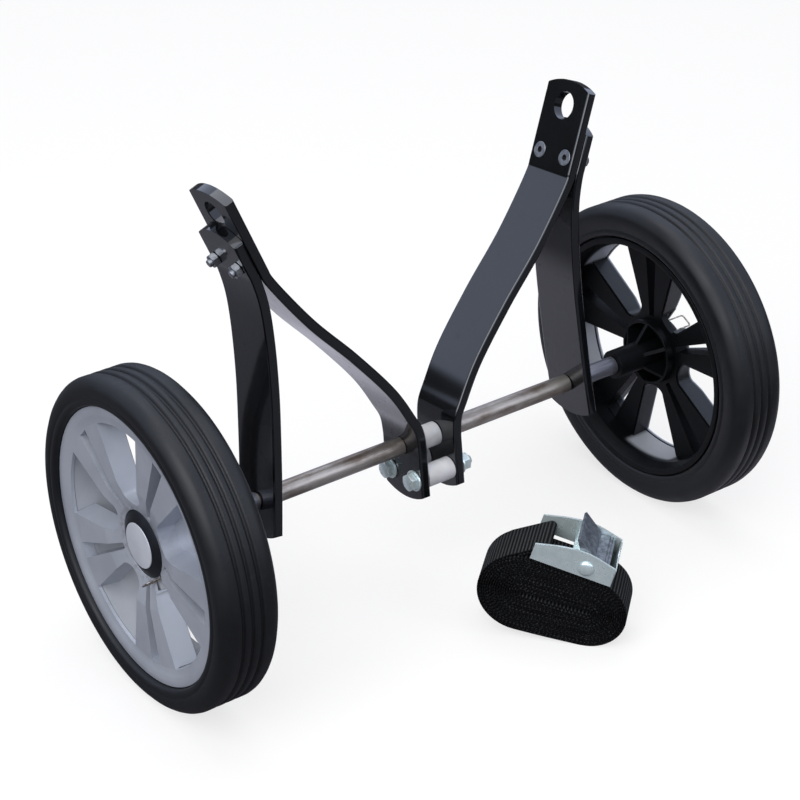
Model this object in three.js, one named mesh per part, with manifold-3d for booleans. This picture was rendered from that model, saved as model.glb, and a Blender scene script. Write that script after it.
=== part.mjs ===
// Two-wheeled cart for a kayak, with its tie-down strap lying rolled up in front of it.
// Millimetres, +Z up, +X along the axle, +Y away from the strap.
// The pieces are first placed round the middle of the axle, and the last lines move the whole so that
// the origin is the middle of its footprint on the ground.

import * as THREE from 'three';
import { mergeVertices } from 'three/addons/utils/BufferGeometryUtils.js';
import Module from 'manifold-3d';

const wasm = await Module();
wasm.setup();

// General clearances
const seatGap = 0.3;
const overrun = 4;
const roundSteps = 14;

// Wheels: r is the distance from the axle, s the distance outward from the tyre's middle plane
const track = 485;
const tyre = {
  section: 30.3,
  treadWidth: 31.6,
  shoulderDrop: 7,
  width: 50,
  grooves: 3,
  grooveWidth: 2.8,
  grooveDepth: 3,
  edgeDrop: 2,
  edgeRun: 5.5,
  steps: 28,
};
const wheel = {
  windows: 5,
  windowStraightRadius: 42,
  windowInnerRadius: 31.5,
  windowHalfAngle: 17.75,
  slotInset: 1,
  slotOuterHalf: 6.4,
  slotKneeRadius: 50,
  slotKneeHalf: 3.4,
  slotInnerRadius: 31,
  slotInnerHalf: 2.4,
  steps: 25,
};
const cover = {
  overhang: 1.2,
  faceOut: 20.4,
  ringIn: 9,
  ringStep: 2.4,
  dishRadius: 50,
  dishStep: 1,
  boreRadius: 26.5,
  boreDrop: 5,
  wall: 2.5,
  skirtWall: 1.5,
  skirtDepth: 18.4,
};
const core = {
  barrelRadius: 99.7,
  barrelWall: 4.7,
  lipWall: 4.8,
  lipTaper: 10,
  innerFlangeHeight: 3.7,
  innerFlangeWall: 3.5,
  innerEdge: 24,
  outerFlangeHeight: 7.3,
  outerFlangeWall: 2.5,
  outerEdge: 15,
  webInner: 1.5,
  webOuter: 9,
  hubTop: 5,
  hubWall: 3,
  ringRadius: 28,
  ringWall: 2.5,
  ringEnd: 9.5,
  bossRadius: 12,
  bossEnd: 45.5,
  ribs: 6,
  ribWall: 3,
  ribBossEnd: 23,
};
const cone = {
  radius: 26.2,
  shoulder: 11.7,
  topRadius: 18.8,
  top: 15.5,
};
const cap = { radius: 17.8, wall: 1.3, proud: 0.3 };
const leftTurn = -132.2;
const rightTurn = 30;

// Axle, its tubes and the wire clip that holds each wheel on it
const axle = { radius: 6, grooveRadius: 4.7, endOut: 10.5, runningGap: 0.4, tubeRadius: 7.4 };
const clip = {
  wireRadius: 0.65,
  halfWidth: 5.65,
  level: 7.5,
  tipPast: 3,
  reach: 28.5,
  standOut: 23.6,
  bend: 2.4,
  pull: 7,
  side: 2,
  turn: -4.3,
  sides: 3,
  steps: 26,
};

// Frame: v is the height above the axle along the leaning frame, s runs up the eye plate from its bend
const frame = {
  lean: 6.8,
  barWidth: 50,
  barWall: 8,
  halfGap: 12.9,
  reach: 137.2,
  rise: 184,
  plateSlope: 21.3,
  plateLength: 74,
  foot: 43.5,
  endSagitta: 6,
  eyeRadius: 11,
  eyeUp: 54,
  profileSteps: 14,
};
// Inner face of the saddle bar, from the centre plate to the upper bend: shares of its reach past the plate
// and of its rise
const saddleShares = [[0, 0.022], [0.0155, 0.109], [0.0706, 0.185], [0.191, 0.326], [0.449, 0.543], [0.742, 0.761]];
const upright = {
  topUp: 45,
  topSagitta: 9.5,
  meetUp: 4,
};
// Inner face of the upright as shares of reach and rise, from its foot to below the eye plate
const uprightShares = [[1.098, -0.152], [1.068, 0.054], [1.042, 0.272], [1.02, 0.516], [1.018, 0.761], [1.033, 0.897]];

// Fasteners
const screw = {
  radius: 3,
  headRadius: 6.4,
  headDepth: 3.4,
  socketAcross: 4,
  socketDepth: 2.2,
  spread: 15,
  up: 15.5,
  past: 2.6,
};
const screwNut = { across: 10, height: 5.2 };
const bolt = {
  radius: 4,
  headAcross: 13,
  headHeight: 5.3,
  spread: 16,
  down: 24.5,
  past: 3,
};
const boltNut = { across: 13, height: 6.5 };
const washer = { radius: 8.6, wall: 1.5 };
const spacer = { radius: 9 };
const centreSleeve = { radius: 9.5 };

// Rolled strap: a band wound round two centres, h runs to the right across its face, z upward
const strap = {
  width: 38,
  wall: 1.2,
  leftPitch: 1.92,
  rightPitch: 1.72,
  loops: 18,
  leftRadius: 35.5,
  rightRadius: 32,
  spacing: 53.2,
  tilt: -11.9,
  arcSteps: 8,
  lineSteps: 1,
  barArcSteps: 6,
  sewnLength: 7,
  closing: 13,
  sewnGap: 0.5,
  turn: -48.25,
  nearX: 44.1,
  nearY: -154.2,
};
const sectionSides = 4;

// Cam buckle: x runs along it from the strap's bar to the outlet, y up from the underside of its floor
const buckle = {
  pastPin: 22.3,
  cheekWall: 1.8,
  side: 0.6,
  leftHeight: 14,
  rightHeight: 16.4,
  rightInset: 1,
  floorWall: 1.6,
  floorStart: 30,
  endWallHeight: 14.6,
  barRadius: 2.2,
  barAlong: 9,
  barUp: 9,
  slope: -16,
  tangentAlong: 56.9,
};
// Top edge of a cheek as shares of its length and of its left height
const cheekShares = [[0.34, 1.43], [0.62, 1.54]];
// Where the ridges start on the lever's top, as a share of the way from its crest to its nose
const ridgeShares = [0.5];
const pin = { radius: 2.5, along: 42.7, up: 8.5, headRadius: 6.2, headHeight: 2.4, steps: 12 };
const lever = {
  side: 0.4,
  plateLength: 20.2,
  plateWall: 2.2,
  plateAngle: 142,
  plateRootX: 2,
  plateRootY: 8.2,
  bossRadius: 5.6,
  noseX: 16.4,
  noseUp: 6.8,
  biteX: 13.3,
  floorGap: 0.35,
  ridges: 3,
  ridgeHeight: 0.9,
};

const looks = {
  tyre: { color: 0x2a2b2d, roughness: 0.85, metalness: 0 },
  core: { color: 0x222428, roughness: 0.6, metalness: 0 },
  cover: { color: 0x9a9da8, roughness: 0.4, metalness: 0.5 },
  cap: { color: 0xb9bbc4, roughness: 0.35, metalness: 0.5 },
  bar: { color: 0x25282c, roughness: 0.3, metalness: 0.2 },
  steel: { color: 0x9c9a97, roughness: 0.35, metalness: 1 },
  tube: { color: 0x8a817a, roughness: 0.4, metalness: 1 },
  zinc: { color: 0xb4bcc6, roughness: 0.3, metalness: 1 },
  spacer: { color: 0xe4e4e2, roughness: 0.6, metalness: 0 },
  webbing: { color: 0x1d1e20, roughness: 0.95, metalness: 0 },
};

const radians = THREE.MathUtils.degToRad;
const part = new THREE.Group();

// Merge shared corners, drop triangles without area and turn all faces outward
function tidy(geometry) {
  const bare = geometry.clone();
  bare.deleteAttribute('normal');
  bare.deleteAttribute('uv');
  const merged = mergeVertices(bare);
  const corner = merged.attributes.position;
  const index = merged.index;
  const kept = [];
  const [a, b, c] = [new THREE.Vector3(), new THREE.Vector3(), new THREE.Vector3()];
  let volume = 0;
  for (let i = 0; i < index.count; i += 3) {
    const ids = [index.getX(i), index.getX(i + 1), index.getX(i + 2)];
    if (ids[0] === ids[1] || ids[1] === ids[2] || ids[2] === ids[0]) continue;
    kept.push(...ids);
    a.fromBufferAttribute(corner, ids[0]);
    b.fromBufferAttribute(corner, ids[1]);
    c.fromBufferAttribute(corner, ids[2]);
    volume += a.dot(b.cross(c));
  }
  if (volume < 0) kept.reverse();
  merged.setIndex(kept);
  return merged;
}

function solid(geometry) {
  const closed = tidy(geometry);
  const vertProperties = new Float32Array(closed.attributes.position.array);
  const triVerts = new Uint32Array(closed.index.array);
  return new wasm.Manifold(new wasm.Mesh({ numProp: 3, vertProperties, triVerts }));
}

function surface(manifold) {
  const mesh = manifold.getMesh();
  const geometry = new THREE.BufferGeometry();
  geometry.setAttribute('position', new THREE.BufferAttribute(new Float32Array(mesh.vertProperties), 3));
  geometry.setIndex(new THREE.BufferAttribute(new Uint32Array(mesh.triVerts), 1));
  return geometry;
}

function add(group, name, geometry, look) {
  const closed = tidy(geometry);
  closed.computeVertexNormals();
  const mesh = new THREE.Mesh(closed, new THREE.MeshStandardMaterial(looks[look]));
  mesh.name = name;
  group.add(mesh);
  return mesh;
}

function revolve(outline, steps) {
  const points = outline.map(([r, y]) => new THREE.Vector2(r, y));
  return new THREE.LatheGeometry(points, steps);
}

function ring(outer, inner, from, to, steps = roundSteps) {
  return revolve([[inner, from], [outer, from], [outer, to], [inner, to], [inner, from]], steps);
}

// A round bar along X between two places
function rodAlongX(radius, from, to, steps = roundSteps) {
  const rod = new THREE.CylinderGeometry(radius, radius, to - from, steps);
  rod.rotateZ(-Math.PI / 2);
  rod.translate((from + to) / 2, 0, 0);
  return rod;
}

function tubeAlongX(outer, inner, from, to) {
  const tube = ring(outer, inner, from, to);
  tube.rotateZ(-Math.PI / 2);
  return tube;
}

function hexagon(across, height) {
  return new THREE.CylinderGeometry(across / Math.sqrt(3), across / Math.sqrt(3), height, 6);
}

function mirrored(geometry) {
  const copy = geometry.clone();
  copy.scale(-1, 1, 1);
  return tidy(copy);
}

// Wheels
const tyreHalf = tyre.width / 2;
const coverUnderRing = cover.faceOut - cover.wall;
const coverFace = cover.faceOut - cover.ringStep;
const coverDish = coverFace - cover.dishStep;
const coverBore = coverDish - cover.boreDrop;
const tyreRadius = core.barrelRadius + tyre.section;
const barrelInner = core.barrelRadius - core.barrelWall;
const innerFlangeRadius = core.barrelRadius + core.innerFlangeHeight;
const outerFlangeRadius = core.barrelRadius + core.outerFlangeHeight;
const coverRadius = outerFlangeRadius + cover.overhang;
const ringInner = barrelInner + cover.ringIn;
const windowOuter = barrelInner - seatGap;
const slotOuter = barrelInner - wheel.slotInset;

// The tyre's flats stay clear of the round piece inside them
function clearOf(radius) {
  return (radius + seatGap) / Math.cos(Math.PI / tyre.steps);
}

function tyreGeometry() {
  const tread = tyre.treadWidth / 2;
  const bore = clearOf(core.barrelRadius);
  const outerLip = clearOf(coverRadius);
  const innerLip = clearOf(innerFlangeRadius);
  const crown = [];
  for (let i = 0; i < tyre.grooves; i += 1) {
    const middle = tread - (tyre.treadWidth * (i + 1)) / (tyre.grooves + 1);
    crown.push([tyreRadius, middle + tyre.grooveWidth / 2]);
    crown.push([tyreRadius - tyre.grooveDepth, middle]);
    crown.push([tyreRadius, middle - tyre.grooveWidth / 2]);
  }
  const outerSeat = core.outerEdge - core.outerFlangeWall - seatGap;
  const innerSeat = seatGap + core.innerFlangeWall - core.innerEdge;
  const edgeOut = tyreHalf - tyre.edgeRun;
  return revolve([
    [bore, innerSeat],
    [bore, outerSeat],
    [clearOf(outerFlangeRadius), outerSeat],
    [outerLip, coverUnderRing],
    [outerLip + tyre.edgeDrop, tyreHalf - tyre.edgeDrop],
    [tyreRadius - tyre.shoulderDrop, tyreHalf],
    [tyreRadius - tyre.edgeDrop, edgeOut],
    [tyreRadius, tread],
    ...crown,
    [tyreRadius, -tread],
    [tyreRadius - tyre.edgeDrop, -edgeOut],
    [tyreRadius - tyre.shoulderDrop, -tyreHalf],
    [innerLip + tyre.edgeDrop, tyre.edgeDrop - tyreHalf],
    [innerLip, innerSeat - tyre.edgeDrop],
    [innerLip, innerSeat],
    [bore, innerSeat],
  ], tyre.steps);
}

// Stand a flat shape, drawn with x across and y outward from the axle, in the wheel's plane
function standInWheel(shape, from, to, curveSegments, angle) {
  const block = new THREE.ExtrudeGeometry(shape, { depth: to - from, bevelEnabled: false, curveSegments });
  block.rotateX(Math.PI / 2);
  block.translate(0, to, 0);
  block.rotateY(angle);
  return block;
}

// Window outline: an arc outside, radial sides and half an ellipse inside, grown by a margin
function windowShape(margin) {
  const half = radians(wheel.windowHalfAngle);
  const outer = windowOuter + margin;
  const sideX = wheel.windowStraightRadius * Math.sin(half) + margin;
  const sideY = wheel.windowStraightRadius * Math.cos(half);
  const topX = windowOuter * Math.sin(half) + margin;
  const tilt = Math.asin(topX / outer);
  const shape = new THREE.Shape();
  shape.moveTo(sideX, sideY);
  shape.absarc(0, 0, outer, Math.PI / 2 - tilt, Math.PI / 2 + tilt, false);
  shape.lineTo(-sideX, sideY);
  shape.absellipse(0, sideY, sideX, sideY - wheel.windowInnerRadius + margin, Math.PI, Math.PI * 2, false);
  return shape;
}

// Slot outline, grown by a margin
function slotShape(margin) {
  const innerHalf = wheel.slotInnerHalf + margin;
  const kneeHalf = wheel.slotKneeHalf + margin;
  const outerHalf = wheel.slotOuterHalf + margin;
  const shape = new THREE.Shape();
  shape.moveTo(innerHalf, wheel.slotInnerRadius - margin);
  shape.lineTo(kneeHalf, wheel.slotKneeRadius);
  shape.lineTo(outerHalf, slotOuter + margin);
  shape.lineTo(-outerHalf, slotOuter + margin);
  shape.lineTo(-kneeHalf, wheel.slotKneeRadius);
  shape.lineTo(-innerHalf, wheel.slotInnerRadius - margin);
  return shape;
}

// The clip's way out of the hub, cut from the axle outward
function clipWay(from, to, low, high, halfWidth) {
  const shape = new THREE.Shape();
  shape.moveTo(halfWidth, from);
  shape.lineTo(halfWidth, to);
  shape.lineTo(-halfWidth, to);
  shape.lineTo(-halfWidth, from);
  return standInWheel(shape, low, high, 1, radians(clip.turn));
}

const windowSteps = 5;
const fifth = (Math.PI * 2) / wheel.windows;
const clipNotchHalf = clip.halfWidth + clip.wireRadius + clip.side;
const clipNotchEnd = clip.reach + clip.pull + clip.wireRadius + clip.side / 2;

function coverGeometry() {
  const face = [
    [cover.boreRadius, coverBore],
    [cover.dishRadius, coverDish],
    [barrelInner, coverFace],
    [ringInner, cover.faceOut],
    [coverRadius, cover.faceOut],
  ];
  const underside = [
    [coverRadius, coverUnderRing],
    [ringInner + cover.ringStep / 2, coverUnderRing],
    [barrelInner + cover.ringStep / 2, coverFace - cover.wall],
    [cover.dishRadius, coverDish - cover.wall],
    [cover.boreRadius, coverBore - cover.wall],
  ];
  let body = solid(revolve([...face, ...underside, face[0]], wheel.steps));
  const skirtRadius = barrelInner - seatGap * 2;
  const half = cover.wall / 2;
  const under = solid(revolve([
    [cover.boreRadius, -core.webInner],
    [cover.boreRadius, coverBore - half],
    [cover.dishRadius, coverDish - half],
    [skirtRadius, coverFace - half],
    [skirtRadius, -core.webInner],
    [cover.boreRadius, -core.webInner],
  ], wheel.steps));
  const skirtFrom = coverFace - cover.skirtDepth;
  const slotFrom = core.webOuter + seatGap;
  for (let i = 0; i < wheel.windows; i += 1) {
    const skirt = standInWheel(windowShape(cover.skirtWall), skirtFrom, cover.faceOut, windowSteps, i * fifth);
    const slotSkirt = standInWheel(slotShape(cover.skirtWall), slotFrom, cover.faceOut, 1, (i + 1 / 2) * fifth);
    body = body.add(solid(skirt).intersect(under)).add(solid(slotSkirt).intersect(under));
  }
  const low = -core.webInner;
  const high = cover.faceOut + overrun;
  for (let i = 0; i < wheel.windows; i += 1) {
    body = body.subtract(solid(standInWheel(windowShape(0), low, high, windowSteps, i * fifth)));
    body = body.subtract(solid(standInWheel(slotShape(0), low, high, 1, (i + 1 / 2) * fifth)));
  }
  return surface(body.subtract(solid(clipWay(0, clipNotchEnd, low, high, clipNotchHalf))));
}

function ribShape() {
  const shape = new THREE.Shape();
  const hubRingIn = core.ringRadius - core.ringWall / 2;
  const bossIn = core.bossRadius - core.ribWall;
  shape.moveTo(bossIn, -core.ribBossEnd);
  shape.lineTo(hubRingIn, -core.ringEnd);
  shape.lineTo(hubRingIn, core.hubTop - core.hubWall / 2);
  shape.lineTo(bossIn, core.hubTop - core.hubWall / 2);
  return shape;
}

function coreGeometry() {
  const boreRadius = axle.radius + axle.runningGap;
  const flange = core.outerEdge - core.outerFlangeWall;
  const innerFlange = core.innerFlangeWall - core.innerEdge;
  let body = solid(revolve([
    [innerFlangeRadius - core.lipWall, -core.innerEdge],
    [innerFlangeRadius, -core.innerEdge],
    [innerFlangeRadius, innerFlange],
    [core.barrelRadius, innerFlange],
    [core.barrelRadius, flange],
    [outerFlangeRadius, flange],
    [outerFlangeRadius, core.outerEdge],
    [barrelInner, core.outerEdge],
    [barrelInner, core.lipTaper - core.innerEdge],
    [innerFlangeRadius - core.lipWall, -core.innerEdge],
  ], wheel.steps));
  const webFrom = core.ringRadius - core.ringWall / 2;
  const webTo = barrelInner + core.ringWall / 2;
  let web = solid(ring(webTo, webFrom, -core.webInner, core.webOuter, wheel.steps));
  const [low, high] = [-core.webInner - overrun, core.webOuter + overrun];
  const margin = cover.skirtWall + seatGap;
  for (let i = 0; i < wheel.windows; i += 1) {
    web = web.subtract(solid(standInWheel(windowShape(margin), low, high, windowSteps, i * fifth)));
    web = web.subtract(solid(standInWheel(slotShape(0), low, high, 1, (i + 1 / 2) * fifth)));
  }
  web = web.subtract(solid(clipWay(0, clipNotchEnd, core.hubTop, high, clipNotchHalf)));
  body = body.add(web);
  body = body.add(solid(revolve([
    [boreRadius, -core.bossEnd],
    [core.bossRadius, -core.bossEnd],
    [core.bossRadius, core.hubTop - core.hubWall],
    [core.ringRadius - core.ringWall, core.hubTop - core.hubWall],
    [core.ringRadius - core.ringWall, -core.ringEnd],
    [core.ringRadius, -core.ringEnd],
    [core.ringRadius, core.hubTop],
    [boreRadius, core.hubTop],
    [boreRadius, -core.bossEnd],
  ], wheel.steps)));
  const ribOptions = { depth: core.ribWall, bevelEnabled: false };
  for (let i = 0; i < core.ribs; i += 1) {
    const rib = new THREE.ExtrudeGeometry(ribShape(), ribOptions);
    rib.translate(0, 0, -core.ribWall / 2);
    rib.rotateY((i * Math.PI * 2) / core.ribs);
    body = body.add(solid(rib));
  }
  return surface(body);
}

function coneGeometry() {
  const bore = axle.radius + axle.runningGap;
  const boreEnd = axle.endOut + axle.runningGap;
  const foot = core.hubTop + seatGap;
  const recess = cone.top + cap.proud - cap.wall - seatGap;
  const body = solid(revolve([
    [0, boreEnd],
    [bore, boreEnd],
    [bore, foot],
    [cone.radius, foot],
    [cone.radius, cone.shoulder],
    [cone.topRadius, cone.top],
    [cap.radius + seatGap, cone.top],
    [cap.radius + seatGap, recess],
    [0, recess],
  ], wheel.steps));
  const half = clip.wireRadius + seatGap;
  const way = clipWay(-clip.tipPast - seatGap * 3, cone.radius + overrun, clip.level - half, clip.level + half,
    clip.halfWidth + half);
  return surface(body.subtract(solid(way)));
}

function capGeometry() {
  const top = cone.top + cap.proud;
  const foot = top - cap.wall;
  return revolve([[0, foot], [cap.radius, foot], [cap.radius, top], [0, top]], wheel.steps);
}

// A bent wire: two legs past the axle, turned outward and closed by a cross bar
function clipGeometry() {
  const half = clip.halfWidth;
  const corners = [
    [half, clip.level, -clip.tipPast],
    [half, clip.level, clip.reach],
    [half, clip.standOut, clip.reach],
    [-half, clip.standOut, clip.reach],
    [-half, clip.level, clip.reach],
    [-half, clip.level, -clip.tipPast],
  ].map((place) => new THREE.Vector3(...place));
  const path = new THREE.CurvePath();
  let from = corners[0];
  for (let i = 1; i < corners.length - 1; i += 1) {
    const back = corners[i - 1].clone().sub(corners[i]).setLength(clip.bend).add(corners[i]);
    const ahead = corners[i + 1].clone().sub(corners[i]).setLength(clip.bend).add(corners[i]);
    path.add(new THREE.LineCurve3(from, back));
    path.add(new THREE.QuadraticBezierCurve3(back, corners[i], ahead));
    from = ahead;
  }
  path.add(new THREE.LineCurve3(from, corners[corners.length - 1]));
  const section = new THREE.Shape();
  section.absarc(0, 0, clip.wireRadius, 0, Math.PI * 2, false);
  const wire = new THREE.ExtrudeGeometry(section, {
    steps: clip.steps,
    curveSegments: clip.sides,
    extrudePath: path,
  });
  wire.rotateY(radians(clip.turn));
  return wire;
}

function addWheel(side, sign, turn) {
  const place = new THREE.Group();
  place.position.x = (sign * track) / 2;
  place.rotation.z = (-sign * Math.PI) / 2;
  part.add(place);
  add(place, `tyre_${side}`, tyreGeometry(), 'tyre');
  const turned = new THREE.Group();
  turned.rotation.y = radians(turn);
  place.add(turned);
  add(turned, `wheel_core_${side}`, coreGeometry(), 'core');
  add(turned, `wheel_cover_${side}`, coverGeometry(), 'cover');
  add(turned, `hub_cone_${side}`, coneGeometry(), 'core');
  add(turned, `hub_cap_${side}`, capGeometry(), 'cap');
  add(turned, `axle_clip_${side}`, clipGeometry(), 'steel');
}

addWheel('left', -1, leftTurn);
addWheel('right', 1, rightTurn);

// Frame: the saddle bars and uprights are bent from flat bar, drawn by the line of their inner faces
const plateDirection = new THREE.Vector2(Math.sin(radians(frame.plateSlope)), Math.cos(radians(frame.plateSlope)));
const plateOutward = new THREE.Vector2(plateDirection.y, -plateDirection.x);
const plateStart = new THREE.Vector2(frame.reach, frame.rise);
const downward = new THREE.Vector2(0, -1);

function along(start, direction, distance) {
  return start.clone().addScaledVector(direction, distance);
}

function smoothLine(knots) {
  const curve = new THREE.CatmullRomCurve3(knots.map((knot) => new THREE.Vector3(knot.x, knot.y, 0)), false);
  return curve.getPoints(frame.profileSteps).map((point) => new THREE.Vector2(point.x, point.y));
}

// Knots from shares of the reach past a start, and of the rise
function fromShares(shares, start) {
  const run = frame.reach - start;
  return shares.map(([x, v]) => new THREE.Vector2(start + x * run, v * frame.rise));
}

function saddleLine() {
  const kneeUp = frame.barWall / 2;
  const knots = [new THREE.Vector2(frame.halfGap, -kneeUp), ...fromShares(saddleShares, frame.halfGap), plateStart];
  const bend = smoothLine([...knots, along(plateStart, plateDirection, kneeUp)]);
  return [new THREE.Vector2(frame.halfGap, -frame.foot), ...bend, along(plateStart, plateDirection, frame.plateLength)];
}

function uprightLine() {
  const start = along(plateStart, plateOutward, frame.barWall + seatGap);
  const meet = along(start, plateDirection, upright.meetUp);
  const knots = fromShares(uprightShares, 0);
  const bend = smoothLine([...knots, meet, along(meet, plateDirection, frame.barWall)]);
  return [...bend, along(start, plateDirection, upright.topUp)];
}

// The outer face lies one wall outboard of the inner face, square to the line at each point
function outerLine(line, wall) {
  return line.map((point, i) => {
    const before = line[Math.max(i - 1, 0)];
    const after = line[Math.min(i + 1, line.length - 1)];
    const ahead = after.clone().sub(point).normalize();
    const behind = point.clone().sub(before).normalize();
    const run = ahead.clone().add(behind).normalize();
    const straight = ahead.length() > 0 ? ahead : behind;
    const miter = wall / Math.max(run.dot(straight), 1 / 2);
    return new THREE.Vector2(point.x + run.y * miter, point.y - run.x * miter);
  });
}

function barSolid(line) {
  const outline = [...line, ...outerLine(line, frame.barWall).reverse()];
  const bar = new THREE.ExtrudeGeometry(new THREE.Shape(outline), { depth: frame.barWidth, bevelEnabled: false });
  bar.rotateX(Math.PI / 2);
  bar.translate(0, frame.barWidth / 2, 0);
  return solid(bar);
}

// Axes at a place on a plate: x across the bar, y along the plate, z through it
function onPlate(point, direction) {
  const across = new THREE.Vector3(0, 1, 0);
  const run = new THREE.Vector3(direction.x, 0, direction.y);
  const through = new THREE.Vector3().crossVectors(across, run);
  return new THREE.Matrix4().makeBasis(across, run, through).setPosition(point.x, 0, point.y);
}

// What is cut away beyond the rounded end of a bar
function endWaste(point, direction, sagitta) {
  const half = frame.barWidth / 2;
  const radius = (half * half + sagitta * sagitta) / (sagitta * 2);
  const reach = Math.asin(Math.min((half + sagitta / 2) / radius, 1));
  const shape = new THREE.Shape();
  shape.absarc(0, -radius, radius, Math.PI / 2 - reach, Math.PI / 2 + reach, false);
  shape.lineTo(-half - overrun, overrun - sagitta);
  shape.lineTo(-half - overrun, overrun);
  shape.lineTo(half + overrun, overrun);
  shape.lineTo(half + overrun, overrun - sagitta);
  const depth = (frame.barWall + overrun) * 2;
  const waste = new THREE.ExtrudeGeometry(shape, { depth, bevelEnabled: false, curveSegments: 10 });
  waste.translate(0, 0, -depth / 2);
  waste.applyMatrix4(onPlate(point, direction));
  return solid(waste);
}

// Cutters through the eye plate, at a place across it and up it
function plateCut(cutter, u, up) {
  cutter.rotateX(Math.PI / 2);
  cutter.translate(u, up, 0);
  cutter.applyMatrix4(onPlate(plateStart, plateDirection));
  return solid(cutter);
}

function plateBore(radius, u, up) {
  const length = (frame.barWall + overrun) * 4;
  return plateCut(new THREE.CylinderGeometry(radius, radius, length, roundSteps), u, up);
}

function countersink(u, up) {
  const wide = screw.headRadius + seatGap;
  const narrow = screw.radius + seatGap / 2;
  const depth = screw.headDepth + seatGap;
  const outline = [[0, -overrun], [wide, -overrun], [wide, seatGap / 2], [narrow, depth], [0, depth]];
  return plateCut(revolve(outline, roundSteps), u, up);
}

function boreAlongX(radius, u, v) {
  const bore = rodAlongX(radius, 0, frame.reach * 2);
  bore.translate(0, u, v);
  return solid(bore);
}

function saddleGeometry() {
  const line = saddleLine();
  let bar = barSolid(line);
  bar = bar.subtract(endWaste(line[line.length - 1], plateDirection, frame.endSagitta));
  bar = bar.subtract(endWaste(line[0], downward, frame.endSagitta));
  bar = bar.subtract(plateBore(frame.eyeRadius, 0, frame.eyeUp));
  bar = bar.subtract(boreAlongX(axle.radius + seatGap, 0, 0));
  for (const side of [-1, 1]) {
    bar = bar.subtract(plateBore(screw.radius + seatGap, side * screw.spread, screw.up));
    bar = bar.subtract(countersink(side * screw.spread, screw.up));
    bar = bar.subtract(boreAlongX(bolt.radius + seatGap, side * bolt.spread, -bolt.down));
  }
  return surface(bar);
}

function uprightGeometry() {
  const line = uprightLine();
  let bar = barSolid(line);
  bar = bar.subtract(endWaste(line[line.length - 1], plateDirection, upright.topSagitta));
  const footDirection = line[0].clone().sub(line[1]).normalize();
  bar = bar.subtract(endWaste(line[0], footDirection, frame.endSagitta));
  bar = bar.subtract(boreAlongX(axle.radius + seatGap, 0, 0));
  for (const side of [-1, 1]) {
    bar = bar.subtract(plateBore(screw.radius + seatGap, side * screw.spread, screw.up));
  }
  return surface(bar);
}

const nutSeat = (frame.barWall + seatGap) * 2;

// Countersunk screw with a hexagon socket, pointing through the eye plate and the upright
function screwGeometry() {
  const end = nutSeat + screwNut.height + screw.past;
  const body = solid(revolve([
    [0, 0],
    [screw.headRadius, 0],
    [screw.radius, screw.headDepth],
    [screw.radius, end],
    [0, end],
  ], roundSteps));
  const socket = hexagon(screw.socketAcross, screw.socketDepth * 2);
  return surface(body.subtract(solid(socket)));
}

function nutGeometry(size, boreRadius, foot) {
  const block = hexagon(size.across, size.height);
  const bore = new THREE.CylinderGeometry(boreRadius, boreRadius, size.height + overrun, roundSteps);
  const nut = surface(solid(block).subtract(solid(bore)));
  nut.translate(0, foot + size.height / 2, 0);
  return nut;
}

function addScrews(group) {
  for (const [side, sign] of [['left', -1], ['right', 1]]) {
    for (const [end, across] of [['front', -1], ['rear', 1]]) {
      const screwBody = screwGeometry();
      const nut = nutGeometry(screwNut, screw.radius + seatGap, nutSeat);
      for (const [name, geometry, look] of [['screw', screwBody, 'steel'], ['screw_nut', nut, 'steel']]) {
        geometry.rotateX(Math.PI / 2);
        geometry.translate(across * screw.spread, screw.up, 0);
        geometry.applyMatrix4(onPlate(plateStart, plateDirection));
        add(group, `${name}_${side}_${end}`, sign > 0 ? geometry : mirrored(geometry), look);
      }
    }
  }
}

const plateOut = frame.halfGap + frame.barWall;

function boltGeometry() {
  const head = plateOut + washer.wall + seatGap * 2;
  const end = plateOut + washer.wall + boltNut.height + bolt.past + seatGap;
  const shank = rodAlongX(bolt.radius, -head - bolt.headHeight / 2, end);
  const hex = hexagon(bolt.headAcross, bolt.headHeight);
  hex.rotateZ(Math.PI / 2);
  hex.translate(-head - bolt.headHeight / 2, 0, 0);
  return surface(solid(shank).add(solid(hex)));
}

function addBolts(group) {
  const bore = bolt.radius + seatGap;
  const washerIn = plateOut + seatGap;
  for (const [end, across] of [['front', -1], ['rear', 1]]) {
    const nut = nutGeometry(boltNut, bore, washerIn + washer.wall + seatGap);
    nut.rotateZ(-Math.PI / 2);
    const row = [
      ['bolt', boltGeometry(), 'steel'],
      ['bolt_nut', nut, 'steel'],
      ['bolt_washer_left', tubeAlongX(washer.radius, bore, -washerIn - washer.wall, -washerIn), 'steel'],
      ['bolt_washer_right', tubeAlongX(washer.radius, bore, washerIn, washerIn + washer.wall), 'steel'],
      ['spacer', tubeAlongX(spacer.radius, bore, seatGap - frame.halfGap, frame.halfGap - seatGap), 'spacer'],
    ];
    for (const [name, geometry, look] of row) {
      geometry.translate(0, across * bolt.spread, -bolt.down);
      add(group, `${name}_${end}`, geometry, look);
    }
  }
}

function axleGeometry() {
  const end = track / 2 + axle.endOut;
  const middle = track / 2 + clip.level;
  const half = clip.wireRadius + seatGap;
  const rod = revolve([
    [0, -end],
    [axle.radius, -end],
    [axle.radius, -middle - half],
    [axle.grooveRadius, -middle - half],
    [axle.grooveRadius, half - middle],
    [axle.radius, half - middle],
    [axle.radius, middle - half],
    [axle.grooveRadius, middle - half],
    [axle.grooveRadius, middle + half],
    [axle.radius, middle + half],
    [axle.radius, end],
    [0, end],
  ], roundSteps);
  rod.rotateZ(-Math.PI / 2);
  return rod;
}

// Where a bar's face is at one height
function faceAt(line, v) {
  const i = line.findIndex((point) => point.y > v);
  const share = (v - line[i - 1].y) / (line[i].y - line[i - 1].y);
  return line[i - 1].x + (line[i].x - line[i - 1].x) * share;
}

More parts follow.
